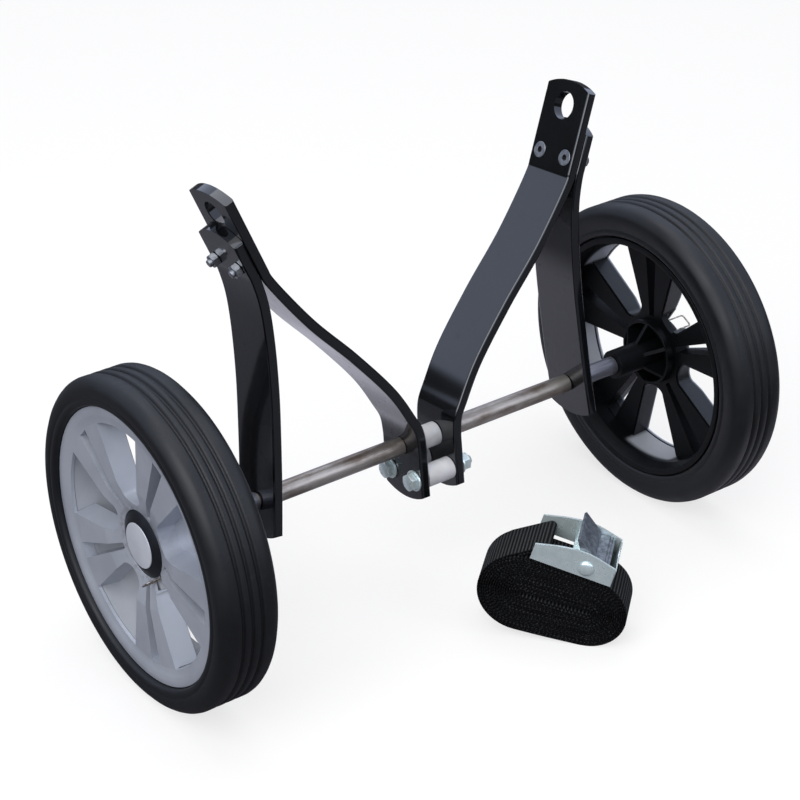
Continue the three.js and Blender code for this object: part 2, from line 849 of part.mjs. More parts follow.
function addAxle(group) {
  add(group, 'axle_rod', axleGeometry(), 'steel');
  const inner = axle.radius + seatGap;
  const sleeveEnd = frame.halfGap - seatGap;
  add(group, 'sleeve_centre', tubeAlongX(centreSleeve.radius, inner, -sleeveEnd, sleeveEnd), 'spacer');
  const face = uprightLine();
  const longEnd = faceAt(face, axle.tubeRadius) - seatGap;
  const shortStart = faceAt(outerLine(face, frame.barWall), -axle.tubeRadius) + seatGap;
  const shortEnd = track / 2 - core.bossEnd - seatGap;
  const long = tubeAlongX(axle.tubeRadius, inner, plateOut + seatGap, longEnd);
  const short = tubeAlongX(axle.tubeRadius, inner, shortStart, shortEnd);
  add(group, 'tube_long_right', long, 'tube');
  add(group, 'tube_long_left', mirrored(long), 'tube');
  add(group, 'tube_short_right', short, 'zinc');
  add(group, 'tube_short_left', mirrored(short), 'zinc');
}

function addFrame() {
  const group = new THREE.Group();
  group.rotation.x = -radians(frame.lean);
  part.add(group);
  const saddle = saddleGeometry();
  const post = uprightGeometry();
  add(group, 'saddle_bar_right', saddle, 'bar');
  add(group, 'saddle_bar_left', mirrored(saddle), 'bar');
  add(group, 'upright_right', post, 'bar');
  add(group, 'upright_left', mirrored(post), 'bar');
  addScrews(group);
  addBolts(group);
  addAxle(group);
}

addFrame();

// Strap roll: headings are angles of travel, clockwise round each centre
const rightCentre = new THREE.Vector2(0, strap.rightRadius);
const rollAxis = new THREE.Vector2(Math.cos(radians(strap.tilt)), Math.sin(radians(strap.tilt)));
const leftCentre = along(rightCentre, rollAxis, -strap.spacing);

function leftOf(heading) {
  return new THREE.Vector2(-Math.sin(heading), Math.cos(heading));
}

// Heading of the line that leaves one circle and meets the next, both passed clockwise
function tangentHeading(from, fromRadius, to, toRadius) {
  const run = to.clone().sub(from);
  return run.angle() - Math.asin((fromRadius - toRadius) / run.length());
}

const buckleHeading = radians(buckle.slope);
const buckleAxis = new THREE.Vector2(Math.cos(buckleHeading), Math.sin(buckleHeading));
const buckleUp = leftOf(buckleHeading);
const buckleStart = along(along(rightCentre, buckleUp, strap.rightRadius + seatGap), buckleAxis, -buckle.tangentAlong);

function inBuckle(x, y) {
  return along(along(buckleStart, buckleAxis, x), buckleUp, y);
}

// How far a clockwise turn goes from one heading to another
function clockwise(from, to) {
  const turn = Math.PI * 2;
  return (((from - to) % turn) + turn) % turn;
}

// The last loop leaves the roll for the buckle's bar, wraps it and is sewn back along itself
function rollPath() {
  const points = [];
  const outerLeft = strap.leftRadius - strap.wall / 2;
  const outerRight = strap.rightRadius - strap.wall / 2;
  const half = strap.arcSteps + strap.lineSteps;
  const total = half * 2 * strap.loops;
  const out = tangentHeading(leftCentre, strap.leftRadius, rightCentre, strap.rightRadius);
  const back = tangentHeading(rightCentre, strap.rightRadius, leftCentre, strap.leftRadius);
  const bar = inBuckle(buckle.barAlong, buckle.barUp);
  const barRadius = buckle.barRadius + seatGap + strap.wall / 2;
  const leave = tangentHeading(leftCentre, outerLeft, bar, barRadius);
  for (let step = half; step < total; step += 1) {
    const inward = (total - step) / (half * 2);
    const left = [leftCentre, outerLeft - inward * strap.leftPitch];
    const right = [rightCentre, outerRight - inward * strap.rightPitch];
    const onLeft = step % (half * 2) >= half;
    const [centre, radius, start, end] = onLeft ? [...left, back, out] : [...right, out, back];
    const [other, otherRadius] = onLeft ? right : left;
    const share = Math.min((step % half) / strap.arcSteps, 1);
    const heading = start - clockwise(start, end) * share;
    const last = onLeft && step >= total - half;
    if (last && clockwise(back, heading) > clockwise(back, leave)) break;
    const run = Math.max((step % half) - strap.arcSteps, 0) / strap.lineSteps;
    const here = along(centre, leftOf(heading), radius);
    points.push(here.lerp(along(other, leftOf(heading), otherRadius), run));
  }
  points.push(along(leftCentre, leftOf(leave), outerLeft));
  const homeward = new THREE.Vector2(-Math.cos(leave), -Math.sin(leave));
  const sewn = along(along(bar, leftOf(leave), barRadius - strap.wall - strap.sewnGap), homeward, strap.closing);
  const swing = clockwise(leave, tangentHeading(bar, barRadius, sewn, 0));
  for (let i = 0; i <= strap.barArcSteps; i += 1) {
    points.push(along(bar, leftOf(leave - (swing * i) / strap.barArcSteps), barRadius));
  }
  points.push(sewn);
  points.push(along(sewn, homeward, strap.sewnLength));
  return points;
}

// A flat band that stands on its edge along a path
function bandGeometry(path) {
  const corners = [];
  path.forEach((point, i) => {
    const before = path[Math.max(i - 1, 0)];
    const after = path[Math.min(i + 1, path.length - 1)];
    const behind = point.clone().sub(before).normalize();
    const ahead = after.clone().sub(point).normalize();
    const run = behind.clone().add(ahead).normalize();
    const half = strap.wall / 2 / Math.max(run.dot(i > 0 ? behind : ahead), 1 / 2);
    const side = new THREE.Vector2(-run.y * half, run.x * half);
    corners.push([point.x + side.x, 0, point.y + side.y], [point.x + side.x, strap.width, point.y + side.y]);
    corners.push([point.x - side.x, strap.width, point.y - side.y], [point.x - side.x, 0, point.y - side.y]);
  });
  const faces = [];
  for (let i = 0; i < path.length - 1; i += 1) {
    for (let k = 0; k < sectionSides; k += 1) {
      const a = i * sectionSides + k;
      const b = i * sectionSides + ((k + 1) % sectionSides);
      faces.push(a, b, a + sectionSides, b, b + sectionSides, a + sectionSides);
    }
  }
  const end = (path.length - 1) * sectionSides;
  faces.push(0, 2, 1, 0, 3, 2, end, end + 1, end + 2, end, end + 2, end + 3);
  const geometry = new THREE.BufferGeometry();
  geometry.setAttribute('position', new THREE.Float32BufferAttribute(corners.flat(), 3));
  geometry.setIndex(faces);
  return geometry;
}

// Least clear distance between two stretches of the band that don't follow each other
function leastGap(path) {
  const apart = strap.arcSteps;
  let least = Infinity;
  const nearest = new THREE.Vector3();
  path.forEach((point, i) => {
    for (let j = 0; j < path.length - 1; j += 1) {
      if (Math.abs(j - i) < apart / 2) continue;
      const stretch = new THREE.Line3(new THREE.Vector3(path[j].x, path[j].y, 0),
        new THREE.Vector3(path[j + 1].x, path[j + 1].y, 0));
      const place = new THREE.Vector3(point.x, point.y, 0);
      stretch.closestPointToPoint(place, true, nearest);
      least = Math.min(least, nearest.distanceTo(place) - strap.wall);
    }
  });
  return least;
}

// Buckle pieces are drawn in the buckle's own x and y and pushed through its width
const cheekIn = strap.width / 2 + buckle.side;
const cheekOut = cheekIn + buckle.cheekWall;
const buckleLength = pin.along + buckle.pastPin;

function pushed(shape, from, to, curveSegments = 8) {
  const block = new THREE.ExtrudeGeometry(shape, { depth: to - from, bevelEnabled: false, curveSegments });
  block.translate(0, 0, from);
  return block;
}

function boxShape(x0, y0, x1, y1) {
  return new THREE.Shape([[x0, y0], [x1, y0], [x1, y1], [x0, y1]].map(([x, y]) => new THREE.Vector2(x, y)));
}

function acrossRod(radius, x, y, half, steps = roundSteps) {
  const rod = new THREE.CylinderGeometry(radius, radius, half * 2, steps);
  rod.rotateX(Math.PI / 2);
  rod.translate(x, y, 0);
  return rod;
}

function cheekShape() {
  const shape = new THREE.Shape();
  shape.moveTo(0, 0);
  shape.lineTo(0, buckle.leftHeight);
  const knots = cheekShares.map(([x, y]) => new THREE.Vector2(x * buckleLength, y * buckle.leftHeight));
  shape.splineThru([...knots, new THREE.Vector2(buckleLength - buckle.rightInset, buckle.rightHeight)]);
  shape.lineTo(buckleLength, 0);
  return shape;
}

function buckleGeometry() {
  const halfWall = buckle.cheekWall / 2;
  let body = solid(pushed(boxShape(buckle.floorStart, 0, buckleLength - halfWall, buckle.floorWall),
    -cheekIn - halfWall, cheekIn + halfWall));
  const endWall = boxShape(buckleLength - buckle.floorWall, 0, buckleLength, buckle.endWallHeight);
  body = body.add(solid(pushed(endWall, -cheekIn - halfWall, cheekIn + halfWall)));
  body = body.add(solid(pushed(cheekShape(), cheekIn, cheekOut, 4)));
  body = body.add(solid(pushed(cheekShape(), -cheekOut, -cheekIn, 4)));
  body = body.add(solid(acrossRod(buckle.barRadius, buckle.barAlong, buckle.barUp, cheekIn + halfWall)));
  return surface(body.subtract(solid(acrossRod(pin.radius + seatGap, pin.along, pin.up, cheekOut + overrun))));
}

function pinGeometry() {
  const head = cheekOut + seatGap;
  const top = head + pin.headHeight;
  const rim = head + pin.headHeight / 4;
  const dome = (pin.headRadius * 3) / 4;
  const outline = [
    [0, -top], [dome / 2, -top], [dome, pin.headHeight / 4 - top], [pin.headRadius, -rim], [pin.headRadius, -head],
    [pin.radius, -head], [pin.radius, head],
    [pin.headRadius, head], [pin.headRadius, rim], [dome, top - pin.headHeight / 4], [dome / 2, top], [0, top],
  ];
  const body = revolve(outline, pin.steps);
  body.rotateX(Math.PI / 2);
  body.translate(pin.along, pin.up, 0);
  return body;
}

// Cam lever round its pin: a thumb plate rises towards the strap's bar, and a cam with ridges on top
// reaches down to the floor
function leverShape() {
  const slope = radians(lever.plateAngle);
  const run = new THREE.Vector2(Math.cos(slope), Math.sin(slope));
  const rise = new THREE.Vector2(run.y, -run.x);
  const root = new THREE.Vector2(lever.plateRootX, lever.plateRootY);
  const tip = along(root, run, lever.plateLength);
  const noseLow = new THREE.Vector2(lever.biteX, buckle.floorWall + lever.floorGap - pin.up);
  const noseHigh = new THREE.Vector2(lever.noseX, lever.noseUp);
  const crest = along(root, rise, lever.plateWall);
  const ridged = crest.clone().lerp(noseHigh, ridgeShares[0]);
  const points = [tip, along(tip, rise, lever.plateWall), crest, ridged];
  for (let i = 0; i < lever.ridges; i += 1) {
    const share = (i + 1 / 2) / lever.ridges;
    const foot = ridged.clone().lerp(noseHigh, (i + 1) / lever.ridges);
    points.push(along(ridged.clone().lerp(noseHigh, share), rise, lever.ridgeHeight), foot);
  }
  points.push(noseLow);
  points.push(new THREE.Vector2(lever.bossRadius, -lever.bossRadius));
  const start = Math.PI / 2;
  for (let i = 1; i <= 5; i += 1) {
    const angle = -start - (i * start) / 4;
    points.push(new THREE.Vector2(Math.cos(angle), Math.sin(angle)).multiplyScalar(lever.bossRadius));
  }
  return new THREE.Shape(points);
}

function leverGeometry() {
  const half = cheekIn - lever.side;
  const body = solid(pushed(leverShape(), -half, half));
  const bore = solid(acrossRod(pin.radius + seatGap, 0, 0, half + overrun, pin.steps));
  const lifted = surface(body.subtract(bore));
  lifted.translate(pin.along, pin.up, 0);
  return lifted;
}

function addStrap() {
  const group = new THREE.Group();
  group.rotation.z = radians(strap.turn);
  part.add(group);
  const path = rollPath();
  const webbing = add(group, 'strap_webbing', bandGeometry(path), 'webbing');
  const lowest = new THREE.Box3().setFromBufferAttribute(webbing.geometry.attributes.position).min.z;
  group.position.set(strap.nearX, strap.nearY, -tyreRadius - lowest);
  console.log(`strap: least gap to itself ${leastGap(path).toFixed(2)} mm, ${strap.loops} loops`);
  const holder = new THREE.Group();
  const across = new THREE.Vector3(0, -1, 0);
  const run = new THREE.Vector3(buckleAxis.x, 0, buckleAxis.y);
  const up = new THREE.Vector3(buckleUp.x, 0, buckleUp.y);
  const place = new THREE.Matrix4().makeBasis(run, up, across);
  holder.applyMatrix4(place.setPosition(buckleStart.x, strap.width / 2, buckleStart.y));
  group.add(holder);
  add(holder, 'buckle_body', buckleGeometry(), 'zinc');
  add(holder, 'buckle_pin', pinGeometry(), 'zinc');
  add(holder, 'buckle_lever', leverGeometry(), 'zinc');
}

addStrap();

// Put the origin in the middle of the footprint, on the ground
part.updateMatrixWorld(true);
const extent = new THREE.Box3().setFromObject(part, true);
const centre = extent.getCenter(new THREE.Vector3());
part.position.set(-centre.x, -centre.y, -extent.min.z);
part.updateMatrixWorld(true);

export default part;
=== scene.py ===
"""A two-wheeled kayak cart with its rolled tie-down strap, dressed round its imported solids."""

from math import asin, atan2, cos, hypot, pi, radians, sin, sqrt, tan, tau

import bmesh
import bpy
from mathutils import Matrix, Vector


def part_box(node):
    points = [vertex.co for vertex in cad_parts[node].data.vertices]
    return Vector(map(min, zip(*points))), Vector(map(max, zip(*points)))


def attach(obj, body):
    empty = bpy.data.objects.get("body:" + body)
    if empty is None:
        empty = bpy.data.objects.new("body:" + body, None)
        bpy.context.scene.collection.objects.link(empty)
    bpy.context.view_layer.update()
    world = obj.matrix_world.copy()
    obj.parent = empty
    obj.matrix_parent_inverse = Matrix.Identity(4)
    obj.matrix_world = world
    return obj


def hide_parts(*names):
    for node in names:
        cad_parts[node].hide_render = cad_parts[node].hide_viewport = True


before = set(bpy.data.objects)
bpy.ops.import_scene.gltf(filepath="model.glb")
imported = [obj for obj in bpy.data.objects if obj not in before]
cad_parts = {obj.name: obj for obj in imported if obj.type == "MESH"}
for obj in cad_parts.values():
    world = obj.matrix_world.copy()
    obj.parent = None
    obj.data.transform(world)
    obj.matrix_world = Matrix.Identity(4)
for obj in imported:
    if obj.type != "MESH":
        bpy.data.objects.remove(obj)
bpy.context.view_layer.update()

mm = 0.001

# Camera
# The view is taken from the front left and from above, and aims just over the middle of the axle.
# Places are given in millimetres from the middle of the axle, which the axle rod's box gives.
axle_low, axle_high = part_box("axle_rod")
axle_centre = (axle_low + axle_high) / 2
camera_from_axle = (-933.85, -1241.95, 936.77)
camera_yaw = radians(36.295)
camera_drop = radians(30.154)
camera_data = bpy.data.cameras.new("camera")
camera_data.sensor_width = 36
camera_data.lens = 103.86
looking = Vector((
    cos(camera_drop) * sin(camera_yaw),
    cos(camera_drop) * cos(camera_yaw),
    -sin(camera_drop),
))


def add(name, data, place=(0, 0, 0), looks=None):
    """An object in the scene at a place, which looks in a direction where it is given one."""
    made = bpy.data.objects.new(name, data)
    made.location = place
    if looks:
        made.rotation_mode = "QUATERNION"
        made.rotation_quaternion = looks.to_track_quat("-Z", "Y")
    bpy.context.scene.collection.objects.link(made)
    return made


camera = add("camera", camera_data, axle_centre + Vector(camera_from_axle) * mm, looking)
bpy.context.scene.camera = camera
bpy.context.scene.view_settings.view_transform = "Standard"


# Studio
# The cart stands on a white sheet, under a wide lamp at the left, one overhead and a weak one at
# the right. Sheet and sky show white to the camera, and mirrored rays meet a sky bright above.
def maths(operation, reflected=False):
    """A method that adds a Math node on a wire and its other values."""
    def method(wire, *others):
        values = (*others, wire) if reflected else (wire, *others)
        return wire.finish.node("Math", {"operation": operation}, dict(enumerate(values)))
    return method


class Wire:
    """An output in a material's nodes; sums on it add Math nodes."""

    def __init__(self, finish, socket):
        self.finish = finish
        self.socket = socket

    __add__ = __radd__ = maths("ADD")
    __sub__ = maths("SUBTRACT")
    __rsub__ = maths("SUBTRACT", reflected=True)
    __mul__ = __rmul__ = maths("MULTIPLY")
    __pow__ = maths("POWER")
    __abs__ = maths("ABSOLUTE")
    sine = maths("SINE")
    cosine = maths("COSINE")
    bearing = maths("ARCTAN2")
    at_most = maths("MINIMUM")

    def wave(self, length):
        """A sine of 1 along the value, once every length."""
        return (self * (tau / length)).sine()

    def between(self, low, high):
        """0 below low, 1 above high, and a smooth run between."""
        return self.finish.node(
            "MapRange", {"interpolation_type": "SMOOTHSTEP"}, {0: self, 1: low, 2: high}
        )


class Finish:
    """A material made of nodes, on the shader that comes with it, or the nodes of a tree."""

    def __init__(self, name, tree=None, **shader):
        if tree is None:
            self.material = bpy.data.materials.new(name)
            self.material.use_nodes = True
            tree = self.material.node_tree
        self.tree = tree
        for socket, value in shader.items():
            self.set(socket.replace("_", " "), value)

    def feed(self, socket, value):
        if isinstance(value, Wire):
            self.tree.links.new(value.socket, socket)
        elif hasattr(value, "__len__") and socket.type == "RGBA":
            socket.default_value = (*value[:3], 1)
        else:
            socket.default_value = value

    def node(self, kind, settings=None, sockets=None, output=0):
        """Any node: its settings come first, then the values or links of its sockets."""
        made = self.tree.nodes.new("ShaderNode" + kind)
        for name, value in (settings or {}).items():
            setattr(made, name, value)
        for key, value in (sockets or {}).items():
            self.feed(made.inputs[key], value)
        return Wire(self, made.outputs[output])

    def set(self, socket, value):
        self.feed(self.tree.nodes["Principled BSDF"].inputs[socket], value)

    def place(self):
        return self.node("TexCoord", output="Object")

    def axes(self, vector=None):
        """The three parts of a vector, or of the place in metres."""
        source = vector or self.place()
        return [self.node("SeparateXYZ", None, {0: source}, i) for i in range(3)]

    def noise(self, scale, detail=3, rough=0.55, stretch=(1, 1, 1)):
        spread = self.node("VectorMath", {"operation": "MULTIPLY"}, {0: self.place(), 1: stretch})
        return self.node("TexNoise", None, {
            "Vector": spread, "Scale": scale, "Detail": detail, "Roughness": rough,
        })

    def mix(self, share, *colours):
        """One colour where share is 0, the other where it is 1; bare ones run from 0 to 255."""
        first, second = [tone(*c) if isinstance(c, tuple) else c for c in colours]
        return self.node("Mix", {"data_type": "RGBA"}, {0: share, 6: first, 7: second}, 2)

    def paint(self, share, *colours):
        self.set("Base Color", self.mix(share, *colours))

    def mix_shaders(self, share, first, second):
        return self.node("MixShader", None, {0: share, 1: first, 2: second})

    def bump(self, height, depth, strength=1.0):
        """Feeds the shader's normal with a relief of that depth in metres."""
        self.set("Normal", self.node("Bump", None, {
            "Height": height, "Distance": depth, "Strength": strength,
        }))


def tone(*parts):
    """A colour written as red, green and blue in 0 to 255, as the shader takes it."""
    return tuple(((c / 255 + 0.055) / 1.055) ** 2.4 if c > 10 else c / 255 / 12.92 for c in parts)


half = 1.8
sheet_mesh = bpy.data.meshes.new("sheet")
sheet_corners = [(-half, -half, 0), (half, -half, 0), (half, half, 0), (-half, half, 0)]
sheet_mesh.from_pydata(sheet_corners, [], [(0, 1, 2, 3)])
sheet = add("floor_sheet", sheet_mesh)
grey_from_x, grey_from_y = 0.4, 0.35
grey_starts = (0.5, 0.6)
shadow_ends = (0.9, 1.7)
shadow_veil = 0.7
paper = Finish("white sheet", Roughness=0.9)
paper_seen = paper.node("LightPath", output="Is Camera Ray")
paper_x, paper_y, _ = paper.axes()
beside = ((paper_x - grey_from_x) ** 2 + (paper_y - grey_from_y) ** 2) ** 0.5
# painted shade: for all rays but the camera's, the white sheet turns grey (104, 104, 112) away from
# the cart, so glossy parts mirror a dim surround
paper_shaded_far = paper.mix(beside.between(*grey_starts), (190, 190, 202), (104, 104, 112))
paper.paint(paper_seen, paper_shaded_far, (254, 254, 255))
glow = paper.node("Emission", None, {"Color": (1.0, 1.0, 1.0), "Strength": 1.0})
paper_surface = paper.mix_shaders(
    paper_seen * (shadow_veil + beside.between(*shadow_ends) * (1 - shadow_veil)),
    Wire(paper, paper.tree.nodes["Principled BSDF"].outputs[0]),
    glow,
)
paper.feed(paper.tree.nodes["Material Output"].inputs[0], paper_surface)
sheet.data.materials.append(paper.material)

world = bpy.data.worlds.new("studio")
bpy.context.scene.world = world
world.use_nodes = True
sky = Finish("studio", world.node_tree)
bright_from = (0.12, 0.17)
sky_plain, sky_dim, sky_soft, sky_white = [
    sky.node("Background", None, {"Color": colour, "Strength": strength})
    for colour, strength in (
        ((0.94, 0.96, 1.0), 0.42),
        ((0.9, 0.95, 1.0), 0.06),
        ((0.68, 0.77, 1.0), 1.3),
        ((1.0, 1.0, 1.0), 1.0),
    )
]
sky_rise = sky.axes(sky.node("TexCoord", output="Generated"))[2]
mirrored_sky = sky.mix_shaders(sky_rise.between(*bright_from), sky_dim, sky_soft)
mirrored = sky.node("LightPath", output="Is Glossy Ray")
seen = sky.node("LightPath", output="Is Camera Ray")
unseen_sky = sky.mix_shaders(mirrored, sky_plain, mirrored_sky)
whole_sky = sky.mix_shaders(seen, unseen_sky, sky_white)
sky.feed(world.node_tree.nodes["World Output"].inputs[0], whole_sky)

soft_boxes = [
    ("key", (-1.7, -0.95, 1.85), 2.3, 54),
    ("top", (0.3, 0.5, 2.5), 2.4, 26),
    ("fill", (1.2, -2.0, 1.4), 1.2, 8),
]
for box_name, box_place, box_side, box_power in soft_boxes:
    lamp = bpy.data.lights.new(box_name, "AREA")
    lamp.shape = "RECTANGLE"
    lamp.size = lamp.size_y = box_side
    lamp.energy = box_power
    add(box_name, lamp, box_place, axle_centre - Vector(box_place))


# Tyres
# Each tyre is one ring of solid rubber, moulded with three grooves round its tread and a raised
# bead where it grips the rim. r is the distance from the axle, s outward from the wheel's middle.
def shape(name, corners, faces, place):
    """A closed mesh from corners in its own frame, which place takes to the cart's."""
    mesh = bpy.data.meshes.new(name)
    mesh.from_pydata([place @ Vector(corner) for corner in corners], [], faces)
    piece = add(name, mesh)
    mend(piece, 1e-6)
    return piece


def mend(piece, weld):
    """Joins corners that meet and turns all faces outward."""
    work = bmesh.new()
    work.from_mesh(piece.data)
    bmesh.ops.remove_doubles(work, verts=work.verts, dist=weld)
    bmesh.ops.dissolve_degenerate(work, edges=work.edges, dist=weld / 2)
    bmesh.ops.recalc_face_normals(work, faces=work.faces)
    work.to_mesh(piece.data)
    work.free()


def skin(rings, sides, closed=False):
    """Both ends, unless the rings close, and the faces between rings of that many corners."""
    last = (rings - 1) * sides
    faces = [] if closed else [tuple(range(sides)), tuple(range(last, last + sides))[::-1]]
    for i in range(rings if closed else rings - 1):
        here, there = i * sides, (i + 1) % rings * sides
        for k in range(sides):
            after = (k + 1) % sides
            faces.append((here + k, here + after, there + after, there + k))
    return faces


def turned(name, outline, steps, place):
    """A solid turned about its own Y, from a closed outline of (radius, y)."""
    corners = []
    for i in range(steps):
        angle = tau * i / steps
        corners += [(r * sin(angle), y, r * cos(angle)) for r, y in outline]
    return shape(name, corners, skin(steps, len(outline), closed=True), place)


def bend(corner, back, ahead, reach, steps):
    """A soft turn at a corner, from that reach back to that reach ahead."""
    start, end = corner + back.normalized() * reach, corner + ahead.normalized() * reach
    shares = [k / steps for k in range(steps + 1)]
    return [start * (1 - t) ** 2 + corner * (2 * t * (1 - t)) + end * t ** 2 for t in shares]


def rounded(outline, radius, steps=3):
    """The outline with each corner off the axis turned into an arc of about that radius."""
    longest_share = 0.45
    points = []
    for i, corner in enumerate(outline):
        corner = Vector(corner)
        back = Vector(outline[i - 1]) - corner
        ahead = Vector(outline[(i + 1) % len(outline)]) - corner
        if corner.x < 1e-6:
            points.append(corner)
            continue
        reach = min(radius, back.length * longest_share, ahead.length * longest_share)
        points += bend(corner, back, ahead, reach, steps)
    return [tuple(point) for point in points]


def dress(piece, finish, body, node, edge=0, sharp=35):
    """Gives a piece its finish, softened edges, its body and the node that it stands for."""
    piece.data.materials.clear()
    piece.data.materials.append(finish.material)
    piece.data.shade_smooth()
    if edge:
        soften = piece.modifiers.new("edges", "BEVEL")
        soften.width = edge * mm
        soften.segments = 2
        soften.limit_method = "ANGLE"
        soften.angle_limit = radians(sharp)
        soften.use_clamp_overlap = True
        soften.harden_normals = True
    else:
        piece.data.set_sharp_from_angle(angle=radians(sharp))
    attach(piece, body)
    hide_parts(node)


half_track = 242.5
facing_left, facing_right = [
    Matrix(((0, sign, 0), (-sign, 0, 0), (0, 0, 1))).to_4x4() for sign in (-1, 1)
]
wheel_frames = {}
for side, sign, facing in (("left", -1, facing_left), ("right", 1, facing_right)):
    hub_place = Matrix.Translation(axle_centre + Vector((sign * half_track * mm, 0, 0)))
    wheel_frames[side] = hub_place @ facing @ Matrix.Scale(mm, 4)

tyre_radius = 130
tread_half = 15.8
groove_half = 1.9
groove_depth = 2.4
tyre_half = 25


def groove(middle):
    """A round-bottomed groove of the tread, from its outer to its inner lip."""
    bottom = tyre_radius - groove_depth
    wall = [
        (tyre_radius, groove_half + 0.9),
        (tyre_radius - 0.25, groove_half),
        (bottom + 0.9, groove_half * 0.65),
        (bottom + 0.2, groove_half * 0.4),
    ]
    outer = [(r, middle + s) for r, s in wall]
    return [*outer, (bottom, middle), *[(r, middle - s) for r, s in reversed(wall)]]


def sidewall(sign, rim):
    """From the tread down the side to the bead, where sign is 1 outward and -1 inward."""
    shoulder = [(0, 0), (0.5, 2.1), (1.6, 4), (3, 5.7)]
    flank = [(4.6, 2.3), (6.3, 1), (8.2, 0.3), (10.5, 0.05)]
    bead = [
        (7.4, 0.15), (6.8, 0.55), (6, 0.6), (5.4, 0.15),
        (3.4, 0.1), (1.8, 0.6), (0.7, 1.8), (0.15, 3.6),
    ]
    return [
        *[(tyre_radius - drop, sign * (tread_half + out)) for drop, out in shoulder],
        *[(tyre_radius - drop, sign * (tyre_half - inset)) for drop, inset in flank],
        *[(rim + rise, sign * (tyre_half - inset)) for rise, inset in bead],
    ]


cover_rim = 108.7
inner_rim = 103.9
tyre_outline = [
    *reversed(sidewall(1, cover_rim)),
    *groove(tread_half / 2),
    *groove(0),
    *groove(-tread_half / 2),
    *sidewall(-1, inner_rim),
    (inner_rim, -20),
    (100.4, -20),
    (100.4, 12),
    (107.9, 12),
    (cover_rim, 17.6),
]


def wheel_axes(finish):
    """x, then y and z from the axle, the distance from the axle, and s, in metres."""
    x, y, z = finish.axes()
    y, z = y - axle_centre.y, z - axle_centre.z
    return x, y, z, (y ** 2 + z ** 2) ** 0.5, abs(x) - half_track * mm


rubber = Finish("tyre rubber", Specular_IOR_Level=0.36)
rubber_r, rubber_s = wheel_axes(rubber)[3:]
rubber_cloud = rubber.noise(28, 4).between(0.35, 0.7)
rubber_grain = rubber.noise(1500, 2)
rubber_scuff = rubber.noise(160, 5, 0.7).between(0.56, 0.74) * rubber_r.between(0.127, 0.1295)
groove_shade = 1 - rubber_r.between(0.1272, 0.1292)
on_tread = 1 - rubber_s.between(0.019, 0.022)
rubber_black = rubber.mix(rubber_cloud, (7, 8, 10), (13, 15, 17))
rubber_worn = rubber.mix(rubber_scuff * 0.4, rubber_black, (34, 37, 40))
# painted shade: the grooves of the tread are darkened towards (5, 6, 7)
rubber.paint(groove_shade * on_tread * 0.3, rubber_worn, (5, 6, 7))
rubber.set("Roughness", 0.4 + rubber_cloud * 0.1 + rubber_grain * 0.12)
rubber.bump(rubber_grain * 0.4 + rubber_scuff, 0.00012, 0.7)
tyre_steps = 180
for side in ("left", "right"):
    moulded_tyre = turned(f"moulded_tyre_{side}", tyre_outline, tyre_steps, wheel_frames[side])
    dress(moulded_tyre, rubber, f"wheel_{side}", f"tyre_{side}", sharp=50)


# Wheel cores
# Behind each face stands a black nylon moulding: a barrel that carries the tyre, a web with five
# windows and five slots, and a ribbed hub. Silver overspray reaches further into the left one; on
# the right one it stays on the barrel behind the windows, and its web's walls are left black as
# painted shade.
wheel_turns = {"left": -132.2, "right": 30}
windows = 5
window_half_angle = radians(17.75)
window_outer = 94.7
window_straight = 42
window_inner = 31.5


def wheel_place(side, angle=0):
    """The frame of a wheel, turned as it stands, and by an angle more."""
    return wheel_frames[side] @ Matrix.Rotation(radians(wheel_turns[side]) + angle, 4, "Y")


def arc(radius, reach, steps):
    """An arc of (x, z) about z, from the angle reach to the same on the other side."""
    angles = [reach * (1 - 2 * i / steps) for i in range(steps + 1)]
    return [(radius * sin(a), radius * cos(a)) for a in angles]


def window_line(margin, arc_margin=None):
    """Outline of a window, grown by a margin: an arc outside, radial sides, a round end inside."""
    outer = window_outer + (margin if arc_margin is None else arc_margin)
    side_x = window_straight * sin(window_half_angle) + margin
    side_z = window_straight * cos(window_half_angle)
    end_z = side_z - window_inner + margin
    tilt = asin((window_outer * sin(window_half_angle) + margin) / outer)
    end_steps = 20
    end_angles = [pi * i / end_steps for i in range(end_steps + 1)]
    inner_end = [(-side_x * cos(a), side_z - end_z * sin(a)) for a in end_angles]
    return arc(outer, tilt, 24) + inner_end


def slot_line(margin):
    """Outline of a slot between two windows, wider outside and bent at its knee."""
    right = [(2.4 + margin, 31 - margin), (3.4 + margin, 50), (6.4 + margin, 94 + margin)]
    return right + [(-x, z) for x, z in reversed(right)]


def prism(name, line, low, high, place, turns=(0,), top=None):
    """Closed prisms on an outline of (x, z), or from it to top, between two heights in y."""
    corners, faces = [], []
    for turn in turns:
        base = len(corners)
        cosine, sine = cos(turn), sin(turn)
        for level, y in ((line, low), (top or line, high)):
            corners += [(x * cosine + z * sine, y, z * cosine - x * sine) for x, z in level]
        faces += [tuple(base + k for k in face) for face in skin(2, len(line))]
    return shape(name, corners, faces, place)


def combine(piece, operation, *others):
    """Cuts other solids from a piece, adds them to it or keeps what they share with it."""
    for other in others:
        step = piece.modifiers.new(operation, "BOOLEAN")
        step.operation = operation
        step.solver = "EXACT"
        step.object = other
    bpy.context.view_layer.update()
    done = piece.evaluated_get(bpy.context.evaluated_depsgraph_get())
    mesh = bpy.data.meshes.new_from_object(done)
    piece.modifiers.clear()
    piece.data = mesh
    for other in others:
        bpy.data.objects.remove(other)
    mend(piece, 2e-6)


